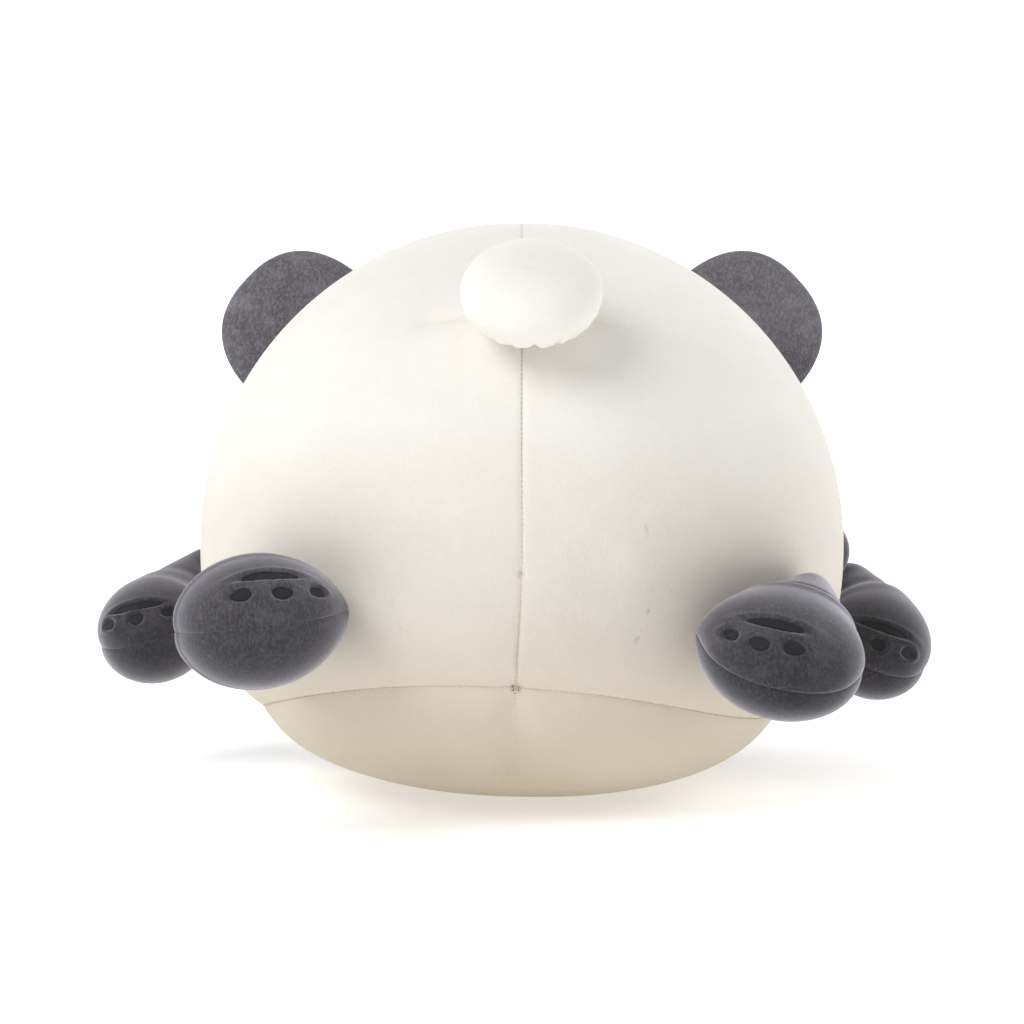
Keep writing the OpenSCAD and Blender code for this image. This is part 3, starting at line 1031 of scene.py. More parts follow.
    def inflate(self) -> None:
        """Simulates the whole body cover under the filling's pressure, held at its seams."""
        a_torso = np.linspace(89.0, self.torso_neck, 62)
        a_head = np.linspace(self.head_neck, -89.0, 40)[1:]
        v = np.linspace(0, 360, 132, endpoint=False)
        rings = [self.torso.points(np.full_like(v, a), v) for a in a_torso]
        rings += [self.head.points(np.full_like(v, a), v) for a in a_head]
        points = np.concatenate(rings)
        count = len(rings)
        faces = grid_faces(count, len(v), True)
        faces.append(tuple(range(len(v))))
        faces.append(tuple(range((count - 1) * len(v), count * len(v))))
        pinned = np.zeros(len(points), bool)
        for seam in self.seams:
            pinned |= np.array([seam.tree.find(p)[2] < self.seam_hold for p in points])
        pinned |= points[:, 2] < 0.5 * MM
        pole = self.torso.points(np.array([90.0]), np.array([0.0]))[0]
        self.inflation = Inflation(pressure=self.pressure, cap=self.most_puff).run(points, faces, pinned)
        self.inflation.even_out(pole, self.even_reach)
        log.info("body cover simulated on %d points", len(points))

    def settle(self, points: Array, normals: Array) -> Array:
        """Places points of the plain surface on the finished, stuffed surface.

        Args:
            points: Points on the plain surface.
            normals: The outward directions there.

        Returns:
            Where those points end up.
        """
        height = self.plump * ease(points[:, 2] / self.floor_ease)
        edge, run = self.puff_front
        puffed = self.puff * bell(np.linalg.norm(points - self.puff_at, axis=1), self.puff_width)
        height = height + puffed * ease((edge - points[:, 1]) / run)
        drawn = np.zeros(len(points))
        for seam in self.seams:
            near = _near_box(points, seam.points, 3 * seam.soft_width + 12 * MM)
            if near.any():
                relief = seam.relief(points[near])
                height[near] += np.maximum(0, relief)
                drawn[near] += np.maximum(0, -relief / MM) ** 4
        height = height - drawn**0.25 * MM
        placed = points + self.inflation.shift(points) + normals * np.maximum(height, -self.deepest)[:, None]
        return self.turn(placed)

    def turn(self, points: Array) -> Array:
        """Turns the rump a little about its length, as it lies, and keeps it on the floor.

        Args:
            points: Settled points.

        Returns:
            The turned points.
        """
        x, z = points[:, 0], points[:, 2] - self.torso.z
        angle = np.radians(self.twist) * ease(points[:, 1] / (170 * MM)) * ease((40 * MM - z) / (80 * MM))
        out = points.copy()
        out[:, 0] = x * np.cos(angle) - z * np.sin(angle)
        out[:, 2] = self.torso.z + x * np.sin(angle) + z * np.cos(angle)
        out[:, 2] = np.maximum(out[:, 2], 0.0002 + 0.0006 * (points[:, 2] > 1e-6))
        return out

    def grid(self, lump: Lump, a: Array, v: Array, inset: float = 0.0) -> Array:
        """A settled grid of points for a panel or the filling under it.

        Args:
            lump: Which form it lies on.
            a: Stations, rows by columns.
            v: Girth angles, rows by columns.
            inset: How far it lies inside the cloth's outer face.

        Returns:
            Points as rows by columns by three.
        """
        flat_a, flat_v = a.ravel(), v.ravel()
        points, normals = lump.points(flat_a, flat_v), lump.normals(flat_a, flat_v)
        settled = self.settle(points, normals) - normals * inset
        return settled.reshape(*a.shape, 3)


def _near_box(points: Array, line: Array, margin: float) -> Array:
    """Which points lie in the box round a line."""
    return np.all((points > line.min(0) - margin) & (points < line.max(0) + margin), axis=1)


# ---------------------------------------------------------------- torso and head covers


@dataclass
class BodyCover:
    """The sewn panels of torso and head, their threads and the filling inside."""

    form: BodyForm

    def panel(self, name: str, node: str, lump: Lump, a: Array, v: Array, slot: Slot, wrap: bool = False) -> None:
        """Makes one cloth panel and puts it in its node's place.

        Args:
            name: The piece's name.
            node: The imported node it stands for.
            lump: The form it lies on.
            a: Stations of its grid.
            v: Girth angles of its grid.
            slot: Its finish.
            wrap: Whether it closes round.
        """
        piece = cloth_sheet(name, self.form.grid(lump, a, v), self.form.cloth, wrap)
        stand_for(piece, slot, node)
        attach(piece, "torso")
        log.info("%s: %d faces", name, len(piece.data.polygons))

    def back(self, side: int) -> None:
        """The back panel of one side, from the belly seam up to the centre-back seam.

        Args:
            side: 1 for the left, -1 for the right.
        """
        f = self.form
        u = crowded(104)
        cap = np.linspace(90, f.seam_tip, 26)[:-1]
        rows_a, rows_v = [], []
        for a in cap:
            rows_a.append(np.full(104, a))
            rows_v.append(-90 + 180 * u)
        for k in f.seat_rows:
            edge_low = mix(f.seam_tip, f.band_edge(-90.0), k)
            low = float(f.seam_girth(np.array(edge_low)))
            v = low + (90 - low) * u
            rows_a.append(mix(f.seam_tip, f.band_edge(v), k))
            rows_v.append(v)
        a, v = np.array(rows_a), np.array(rows_v)
        name = "back_cloth_left" if side > 0 else "back_cloth_right"
        node = "back_panel_left" if side > 0 else "back_panel_right"
        self.panel(name, node, f.torso, a, v if side > 0 else 180 - v, Slot.CREAM)

    def belly(self) -> None:
        """The seat and belly panel under the arched seam."""
        f = self.form
        u = crowded(130)
        k = f.seat_rows[:, None]
        a = mix(f.seam_tip, f.band_edge(-90.0), k) * np.ones(130)
        low = f.seam_girth(a[:, :1])
        self.panel("belly_cloth", "belly_panel", f.torso, a, mix(-180 - low, low, u[None, :]), Slot.CREAM)

    def band(self) -> None:
        """The charcoal band round the shoulders, and the chest below it."""
        f = self.form
        for name, node, v0, v1, cols in (
            ("shoulder_cloth", "shoulder_band", f.band_side, 180 - f.band_side, 220),
            ("chest_cloth", "chest_panel", -180 - f.band_side, f.band_side, 130),
        ):
            v = np.broadcast_to(mix(v0, v1, crowded(cols))[None, :], (56, cols))
            a = mix(f.band_edge(v), f.torso_neck, crowded(56)[:, None])
            self.panel(name, node, f.torso, a, v, Slot.CHARCOAL)

    def head(self) -> None:
        """Crown, chin and face panels."""
        f = self.form
        a = np.broadcast_to(mix(f.head_neck, f.face_rim, crowded(90))[:, None], (90, 110))
        spans = (
            ("crown_cloth_left", "crown_left", f.chin_side, 90),
            ("crown_cloth_right", "crown_right", 90, 180 - f.chin_side),
            ("chin_cloth", "chin_panel", -180 - f.chin_side, f.chin_side),
        )
        for name, node, v0, v1 in spans:
            v = np.broadcast_to(mix(v0, v1, crowded(110))[None, :], (90, 110))
            self.panel(name, node, f.head, a, v, Slot.CREAM)
        v = np.broadcast_to(np.linspace(0, 360, 200, endpoint=False)[None, :], (80, 200))
        a = np.broadcast_to(mix(f.face_rim, -90, np.linspace(0, 1, 80) ** 0.9)[:, None], (80, 200))
        self.panel("face_cloth", "face_panel", f.head, a, v, Slot.CREAM, wrap=True)

    def threads(self) -> None:
        """The small bars of thread that show in each seam that carries thread."""
        for seam in self.form.seams:
            if not seam.thread:
                continue
            points, ahead, normals = seam.even(seam.pitch)
            across = np.cross(ahead, normals)
            wobble = np.sin(np.arange(len(points)) * 2.4)[:, None]
            centres = self.form.settle(points, normals) + normals * 0.12 * MM
            piece = bead_chain(
                f"thread_{seam.name}", centres, across + 0.5 * wobble * ahead, normals, 1.4 * MM, 0.45 * MM
            )
            WARDROBE.dress(piece, Slot.THREAD)
            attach(piece, "torso")

    def filling(self) -> None:
        """The fibre inside torso and head, a little lumpy."""
        f = self.form
        v = np.linspace(0, 360, 72, endpoint=False)
        for name, node, lump, a0, a1 in (
            ("torso_filling", "body_stuffing", f.torso, 88.0, f.torso_neck + 3),
            ("head_filling", "head_stuffing", f.head, f.head_neck - 3, -88.0),
        ):
            a, vv = table(np.linspace(a0, a1, 60), v)
            grid = f.grid(lump, a, vv, 5.5 * MM)
            grid += 0.8 * MM * np.sin(grid[..., ::-1] * 130) * [1, 1, 0]
            grid[..., 2] = np.maximum(grid[..., 2], 3.5 * MM)
            piece = ring_solid(name, grid)
            stand_for(piece, Slot.FILLING, node)
            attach(piece, "torso")

    def build(self) -> None:
        """Makes every panel, thread and filling."""
        for side in (1, -1):
            self.back(side)
        self.belly()
        self.band()
        self.head()
        self.threads()
        self.filling()


@dataclass
class Face:
    """The face's sewn features, a plain design: tilted eye patches, beads, a soft muzzle, a nose and a mouth."""

    form: BodyForm
    patch: tuple[float, float] = (56 * MM, -7 * MM)
    patch_half: tuple[float, float] = (29 * MM, 22 * MM)
    patch_tilt: float = -42.0
    muzzle: tuple[float, float] = (0.0, -33 * MM)
    muzzle_half: tuple[float, float] = (38 * MM, 27 * MM)
    muzzle_proud: float = 11 * MM
    nose: tuple[float, float] = (0.0, -19 * MM)
    mouth_h: float = -33 * MM

    def on_face(self, x: Array, h: Array, proud: Array) -> Array:
        """Points on the stuffed face, lifted off it.

        Args:
            x: Across the face.
            h: Height above the head's middle.
            proud: How far off the cloth.

        Returns:
            The points.
        """
        lump = self.form.head
        r = np.hypot(x / lump.half_w, h / np.where(h > 0, lump.up, lump.down))
        plain = np.stack([x, lump.y - lump.front * dome(r, lump.side_power), lump.z + h], -1)
        shape = plain.shape
        plain = plain.reshape(-1, 3)
        moved = plain + self.form.inflation.shift(plain)
        moved[:, 1] -= np.broadcast_to(proud, shape[:-1]).ravel()
        return moved.reshape(shape)

    def oval(
        self, centre: tuple[float, float], half: tuple[float, float], tilt: float, rise: Callable[[Array], Array]
    ) -> Array:
        """Rings of an oval that lies on the face, from its middle to its rim.

        Args:
            centre: Its middle, across and up.
            half: Its half sizes.
            tilt: Its turn, in degrees.
            rise: Height off the face for each share of the way to the rim.

        Returns:
            Points as rings by points by three.
        """
        k = np.concatenate([[0.001], np.linspace(0.06, 0.9, 14), [0.95, 0.985, 1.0]])[:, None]
        t = np.linspace(0, 2 * np.pi, 96, endpoint=False)[None, :]
        u, w = half[0] * k * np.cos(t), half[1] * k * np.sin(t)
        c, s = math.cos(math.radians(tilt)), math.sin(math.radians(tilt))
        return self.on_face(centre[0] + u * c - w * s, centre[1] + u * s + w * c, rise(k) + 0 * t)

    def muzzle_at(self, x: Array, h: Array) -> Array:
        """Height of the muzzle off the face."""
        k = np.hypot((x - self.muzzle[0]) / self.muzzle_half[0], (h - self.muzzle[1]) / self.muzzle_half[1])
        return mix(0.3 * MM, self.muzzle_proud, dome(k, 2.4))

    def lay(self, name: str, grid: Array, node: str, slot: Slot, thickness: float) -> bpy.types.Object:
        """Makes one sewn-on piece of the face.

        Args:
            name: The piece's name.
            grid: Its outer face.
            node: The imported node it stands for.
            slot: Its finish.
            thickness: Its thickness.

        Returns:
            The new piece.
        """
        piece = cloth_sheet(name, grid, thickness, wrap=True)
        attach(stand_for(piece, slot, node), "torso")
        return piece

    def build(self) -> None:
        """Makes the patches, muzzle, nose and mouth, and dresses the eyes."""
        for side, name in ((1, "left"), (-1, "right")):
            grid = self.oval(self.patch, self.patch_half, self.patch_tilt, lambda k: 0.2 * MM + 1.3 * MM * dome(k, 3))
            grid[..., 0] *= side
            self.lay(f"eye_patch_cloth_{name}", grid, f"eye_patch_{name}", Slot.CHARCOAL, 1.2 * MM)
            for part, slot in (("eye", Slot.EYE), ("eye_washer", Slot.WASHER)):
                WARDROBE.dress(frame["nodes"][f"{part}_{name}"], slot)
        proud = self.muzzle_proud
        grid = self.oval(self.muzzle, self.muzzle_half, 0.0, lambda k: mix(0.3 * MM, proud, dome(k, 2.4)))
        self.lay("muzzle_cloth", grid, "muzzle", Slot.CREAM, 1.6 * MM)
        high = float(self.muzzle_at(np.array(self.nose[0]), np.array(self.nose[1])))
        grid = self.oval(self.nose, (11 * MM, 7 * MM), 0.0, lambda k: high + 0.4 * MM + 2.6 * MM * dome(k, 2.6))
        self.lay("nose_stitching", grid, "nose", Slot.PAD, 1.2 * MM)
        self.mouth()

    def mouth(self) -> None:
        """Two curved lines of stitches under the nose."""
        k = np.linspace(0, 1, 22)
        centres, along = [], []
        for side in (1, -1):
            x = side * mix(1.4 * MM, 15 * MM, k)
            h = self.mouth_h - 8 * MM * np.sin(np.radians(150 * k))
            p = self.on_face(x, h, self.muzzle_at(x, h) + 0.6 * MM)
            centres.append(p)
            along.append(np.gradient(p, axis=0))
        centres, along = np.concatenate(centres), np.concatenate(along)
        up = np.tile([0.0, -1.0, 0.0], (len(centres), 1))
        piece = bead_chain("mouth_stitching", centres, along, up, 1.6 * MM, 1.5 * MM)
        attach(stand_for(piece, Slot.PAD, "mouth"), "torso")


# ---------------------------------------------------------------- limbs


@dataclass(frozen=True)
class Pad:
    """An embroidered oval on a sole: its middle and half sizes are angles on the paw's rounded end."""

    tip: float
    side: float
    half_tip: float
    half_side: float


@dataclass(frozen=True)
class Fold:
    """A fold of loose cloth round a limb: where it runs, how deep it is, and which side it is deepest on."""

    at: float
    depth: float
    width: float
    toward: float = 90.0
    wander: float = 0.012


@dataclass
class Limb:
    """One sewn-on limb: two cloth panels round a filling, with embroidered pads on the sole."""

    name: str
    torso: Lump
    station: float
    girth: float
    reach: tuple[float, float, float]
    toward: tuple[float, float, float]
    roll: float
    half_w: float
    lean: float
    palm: str
    pad_angles: tuple[float, float, float, float, float]
    folds: tuple[Fold, ...] = ()
    corner: float = 0.0
    half_h: float = 27 * MM
    corner_rise: float = 3.5 * MM
    corner_width: float = 9 * MM
    tip: float = 34 * MM
    leave: float = 20 * MM
    arrive: float = 24 * MM
    bulb_at: float = 0.6
    root_gap: float = 2.2 * MM
    root_half: float = 14 * MM
    root_flat: float = 1.2 * MM
    neck_half: float = 16 * MM
    cloth: float = 1.5 * MM
    seam_from: float = 0.1
    seam_run: float = 0.15
    seam_depth: float = 0.7 * MM
    seam_width: float = 1.4 * MM
    seam_soft: float = 6 * MM
    pucker: float = 0.4 * MM
    pucker_width: float = 4 * MM
    girth_span: float = 26 * MM
    pad_sink: float = 1.5 * MM
    pad_rim: float = 0.4 * MM
    pad_half_w: float = 12.8 * MM
    inflation: Inflation | None = None

    def __post_init__(self) -> None:
        """Works out the limb's guide points."""
        a, v = np.array([self.station]), np.array([self.girth])
        self.normal = self.torso.normals(a, v)[0]
        self.root = self.torso.points(a, v)[0] + self.root_gap * self.normal
        self.ahead = unit(np.array(self.toward))
        self.bulb = self.root + np.array(self.reach) * MM
        off = unit(mix(self.normal, self.ahead, self.lean))
        self.guides = [self.root, self.root + self.leave * off, self.bulb - self.arrive * self.ahead, self.bulb]
        self.paw_w, self.paw_n, self.paw_u = self.frame_at(1.0)

    def centre(self, t: float) -> Array:
        """Point of the limb's middle line; t below 0 lies inside the body.

        Args:
            t: Station along the limb.

        Returns:
            The point.
        """
        g0, g1, g2, g3 = self.guides
        if t < 0:
            return g0 + self.normal * t * 60 * MM
        k = min(1.0, t / self.bulb_at)
        a, b, c = mix(g0, g1, k), mix(g1, g2, k), mix(g2, g3, k)
        at = mix(mix(a, b, k), mix(b, c, k), k)
        return at + max(0.0, t - self.bulb_at) / (1 - self.bulb_at) * self.tip * self.ahead

    def frame_at(self, t: float) -> tuple[Array, Array, Array]:
        """Directions across the limb, out of its sole, and along it.

        Args:
            t: Station along the limb.

        Returns:
            The three directions.
        """
        g0, g1, g2, g3 = self.guides
        k = min(1.0, max(0.0, t) / self.bulb_at)
        u = unit(mix(mix(g1 - g0, g2 - g1, k), mix(g2 - g1, g3 - g2, k), k))
        up = np.array([0.0, 0.0, 1.0])
        w = unit(mix(unit(np.cross(self.normal, up)), unit(np.cross(u, up)), ease(t / 0.35)))
        n = unit(np.cross(w, u))
        r = math.radians(self.roll) * float(ease(t / self.bulb_at))
        w = w * math.cos(r) + n * math.sin(r)
        return w, unit(np.cross(w, u)), u

    def swell(self, t: float, root: float, bulb: float) -> float:
        """Half size of the limb at t.

        Args:
            t: Station along the limb.
            root: Half size at the sewn root.
            bulb: Half size at the paw.

        Returns:
            The half size there.
        """
        if t <= self.bulb_at:
            neck = root + (self.neck_half - root) * math.sin(math.pi / 2 * min(1.0, max(0.0, t) / 0.2))
            return neck + (bulb - self.neck_half) * float(ease((t - 0.15) / (self.bulb_at - 0.15)))
        return bulb * float(dome((t - self.bulb_at) / (1 - self.bulb_at), 2))

    def section(self, t: float, v: Array, inset: float = 0.0) -> Array:
        """Points round the limb at t, v in degrees with the sole at 90.

        Args:
            t: Station along the limb.
            v: Angles round it.
            inset: How far inside the outer face they lie.

        Returns:
            The points.
        """
        w, n, _ = self.frame_at(t)
        hw = max(0.3 * MM, self.swell(t, self.root_half, self.half_w) - inset)
        hn = max(0.3 * MM, self.swell(t, self.root_flat, self.half_h) - inset)
        c, s = np.cos(np.radians(v)), np.sin(np.radians(v))
        return self.centre(t) + np.outer(c * hw, w) + np.outer(s * hn, n)

    def stations(self, count: int, start: float) -> Array:
        """Places along the limb, crowded towards its rounded tip.

        Args:
            count: How many.
            start: The first.

        Returns:
            The stations.
        """
        body = np.linspace(start, self.bulb_at, int(count * 0.6))
        cap = mix(self.bulb_at, 1.0, np.sin(np.linspace(0, np.pi / 2, count - len(body) + 1)[1:]))
        return np.concatenate([body, cap])

    def angles(self, points: Array) -> tuple[Array, Array]:
        """Where points stand on the paw's rounded end: the angles from sole to tip, and across.

        Args:
            points: The points.

        Returns:
            Both angles of each, in degrees.
        """
        d = points - self.bulb
        x, n, u = d @ self.paw_w / self.half_w, d @ self.paw_n / self.half_h, d @ self.paw_u / self.tip
        return np.degrees(np.arctan2(u, n)), np.degrees(np.arctan2(x, np.hypot(n, u)))

    def pads(self) -> list[Pad]:
        """The sole's large pad, then its toe pads.

        Returns:
            The pads.
        """
        palm_tip, palm_side, toe_tip, toe_side, spacing = self.pad_angles
        toes = [Pad(toe_tip - 3 * abs(k), toe_side + spacing * k, 6, 7.5) for k in (-1, 0, 1)]
        return [Pad(palm_tip, palm_side, 4.5, math.degrees(math.asin(self.pad_half_w / self.half_w))), *toes]

    def pad_share(self, pad: Pad, points: Array) -> Array:
        """How far each point is from a pad's middle, 1 at the pad's rim."""
        tip, side = self.angles(points)
        return np.hypot((tip - pad.tip) / pad.half_tip, (side - pad.side) / pad.half_side)

    def inflate(self) -> None:
        """Simulates the limb's cover under pressure, held at its root and along the seam round the paw."""
        v = np.linspace(0, 360, 40, endpoint=False)
        t = self.stations(34, 0.0)[:-1]
        rings = np.array([self.section(k, v) for k in t])
        points = np.concatenate([rings.reshape(-1, 3), [self.centre(1.0)]])
        faces = grid_faces(len(t), len(v), True)
        last = (len(t) - 1) * len(v)
        faces.append(tuple(range(len(v))))
        faces += [(last + j, len(points) - 1, last + (j + 1) % len(v)) for j in range(len(v))]
        pinned = np.zeros((len(t), len(v)), bool)
        pinned[:2] = True
        pinned[t > 0.3, 0] = True
        pinned[t > 0.3, len(v) // 2] = True
        pinned = np.append(pinned.ravel(), True)
        self.inflation = Inflation(2.5, 4 * MM, start_inset=1.0 * MM, stiffness=8.0, bending=0.1).run(
            points, faces, pinned
        )

    def relief(self, points: Array, t: Array, v: Array) -> Array:
        """Heights of folds, seam and pad dimples off the plain cover.

        Args:
            points: Points on the plain cover.
            t: Their stations.
            v: Their angles round the limb.

        Returns:
            Heights along the surface's normal.
        """
        out = np.zeros(len(points))
        for fold in self.folds:
            line = fold.at + fold.wander * np.sin(np.radians(v * 2 + 90 * fold.at * 10))
            side = 0.35 + 0.65 * ease(0.5 + 0.5 * np.cos(np.radians(v - fold.toward)))
            out -= fold.depth * side * bell(t - line, fold.width)
            out += 0.6 * fold.depth * side * bell(t - line - 2.1 * fold.width, 1.3 * fold.width)
        fade = ease((t - self.seam_from) / self.seam_run)
        d = np.abs((points - self.bulb) @ self.paw_n)
        d = np.where(t < self.bulb_at, np.abs(np.sin(np.radians(v))) * self.girth_span, d)
        arc = np.cos(np.radians(v)) * 55 * MM + t * 60 * MM
        out -= fade * self.seam_depth * (np.exp(-d / self.seam_width) + bell(d, self.seam_soft))
        out += fade * self.pucker * ripple(arc, len(self.name)) * np.exp(-d / self.pucker_width)
        if self.corner:
            tip = self.bulb + self.paw_w * self.half_w * self.corner
            out += self.corner_rise * np.exp(-np.linalg.norm(points - tip, axis=1) / self.corner_width)
        for pad in self.pads():
            share = self.pad_share(pad, points)
            out -= self.pad_sink * (1 - ease((share - 0.85) / 0.5))
            out += self.pad_rim * bell(share - 1.6, 0.4)
        return out

    def half(self, name: str, node: str, v0: float) -> bpy.types.Object:
        """One cloth panel of the limb.

        Args:
            name: The piece's name.
            node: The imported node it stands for.
            v0: The angle where the panel starts; it covers half a turn.

        Returns:
            The new piece.
        """
        t = self.stations(120, -0.06)
        v = v0 + 180 * crowded(84, 0.5)
        plain = np.array([self.section(float(k), v) for k in t])
        rows, cols = plain.shape[:2]
        plain[-1] = self.centre(1.0)
        flat = plain.reshape(-1, 3)
        across = np.array([self.section(float(k), v + 1) - self.section(float(k), v - 1) for k in t])
        held = np.minimum(t, 0.995)
        along = np.array([self.section(float(k) + 1e-3, v) - self.section(float(k) - 1e-3, v) for k in held])
        normals = unit(np.cross(across, along)).reshape(-1, 3)
        if float(np.sum(normals * (flat - np.repeat([self.centre(float(k)) for k in t], cols, 0)))) < 0:
            normals = -normals
        normals[-cols:] = self.ahead
        tt, vv = np.repeat(t, cols), np.tile(v, rows)
        vv[-cols:] = 90
        height = self.relief(flat, tt, vv) * ease((tt + 0.02) / 0.08)
        placed = flat + self.inflation.shift(flat) + normals * height[:, None]
        placed = placed.reshape(rows, cols, 3)
        placed[-1] = placed[-1].mean(0)
        return stand_for(cloth_sheet(name, placed, self.cloth), Slot.CHARCOAL, node)

    def pad_piece(self, name: str, node: str, pads: list[Pad], sole: bpy.types.Object) -> bpy.types.Object:
        """Embroidered ovals that lie in their dimples on the sole.

        Args:
            name: The piece's name.
            node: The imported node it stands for.
            pads: Which ovals it holds.
            sole: The sole they lie on.

        Returns:
            The new piece.
        """
        tree = BVHTree.FromObject(sole, bpy.context.evaluated_depsgraph_get())
        points: list[Array] = []
        faces: list[tuple[int, ...]] = []
        ring, steps = 40, (0.0, 0.25, 0.5, 0.7, 0.85, 0.95, 1.0)
        for pad in pads:
            start = len(points)
            for layer in (0, 1):
                for k in steps:
                    for j in range(1 if k == 0 else ring):
                        turn = 2 * math.pi * j / ring
                        uneven = 1 + 0.05 * math.sin(3 * turn + pad.side)
                        tip = math.radians(pad.tip + pad.half_tip * k * uneven * math.sin(turn))
                        side = math.radians(pad.side + pad.half_side * k * uneven * math.cos(turn))
                        ahead = self.paw_n * math.cos(tip) * self.half_h + self.paw_u * math.sin(tip) * self.tip
                        aim = unit(self.paw_w * math.sin(side) * self.half_w + math.cos(side) * ahead)
                        hit = tree.ray_cast(Vector(self.bulb + aim * 70 * MM), Vector(-aim))[0]
                        at = np.array(hit) if hit is not None else self.bulb + aim * self.half_h
                        lift = (0.1 * MM + 0.5 * MM * float(dome(k, 3))) if layer == 0 else -0.5 * MM
                        points.append(at + aim * lift)
            rows = len(steps) - 1
            for layer in (0, 1):
                s = start + layer * (1 + rows * ring)
                fan = [(s, s + 1 + j, s + 1 + (j + 1) % ring) for j in range(ring)]
                body = grid_faces(rows, ring, True, s + 1)
                faces += [f[::-1] for f in fan + body] if layer else fan + body
            a, b = start + 1 + (rows - 1) * ring, start + 1 + rows * ring + 1 + (rows - 1) * ring
            faces += [(a + j, b + j, b + (j + 1) % ring, a + (j + 1) % ring) for j in range(ring)]
        return stand_for(object_from(name, np.array(points), faces), Slot.PAD, node)

    def filling(self) -> bpy.types.Object:
        """The fibre inside the limb.

        Returns:
            The new piece.
        """
        v = np.linspace(0, 360, 32, endpoint=False)
        t = self.stations(40, 0.06)[:-1] * 0.92
        rings = np.array([self.section(float(k), v, 6 * MM) for k in t])
        return stand_for(ring_solid(f"{self.name}_filling", rings), Slot.FILLING, f"{self.name}_stuffing")

    def build(self) -> None:
        """Makes the limb's panels, pads and filling, bakes the panels' and filling's placement, and puts the pads on
        the limb's body.
        """
        self.inflate()
        sole = self.half(f"{self.name}_sole_cloth", f"{self.name}_sole_panel", 0.0)
        top = self.half(f"{self.name}_top_cloth", f"{self.name}_top_panel", 180.0)
        pads = self.pads()
        palm = self.pad_piece(f"{self.name}_palm_stitching", f"{self.name}_{self.palm}_pad", pads[:1], sole)
        toes = self.pad_piece(f"{self.name}_toe_stitching", f"{self.name}_toe_pads", pads[1:], sole)
        filling = self.filling()
        for piece in (sole, top, filling):
            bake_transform(piece)
        for piece in (palm, toes):
            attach(piece, self.name)
        log.info("%s: panels, pads and filling", self.name)


# ---------------------------------------------------------------- ears and tail


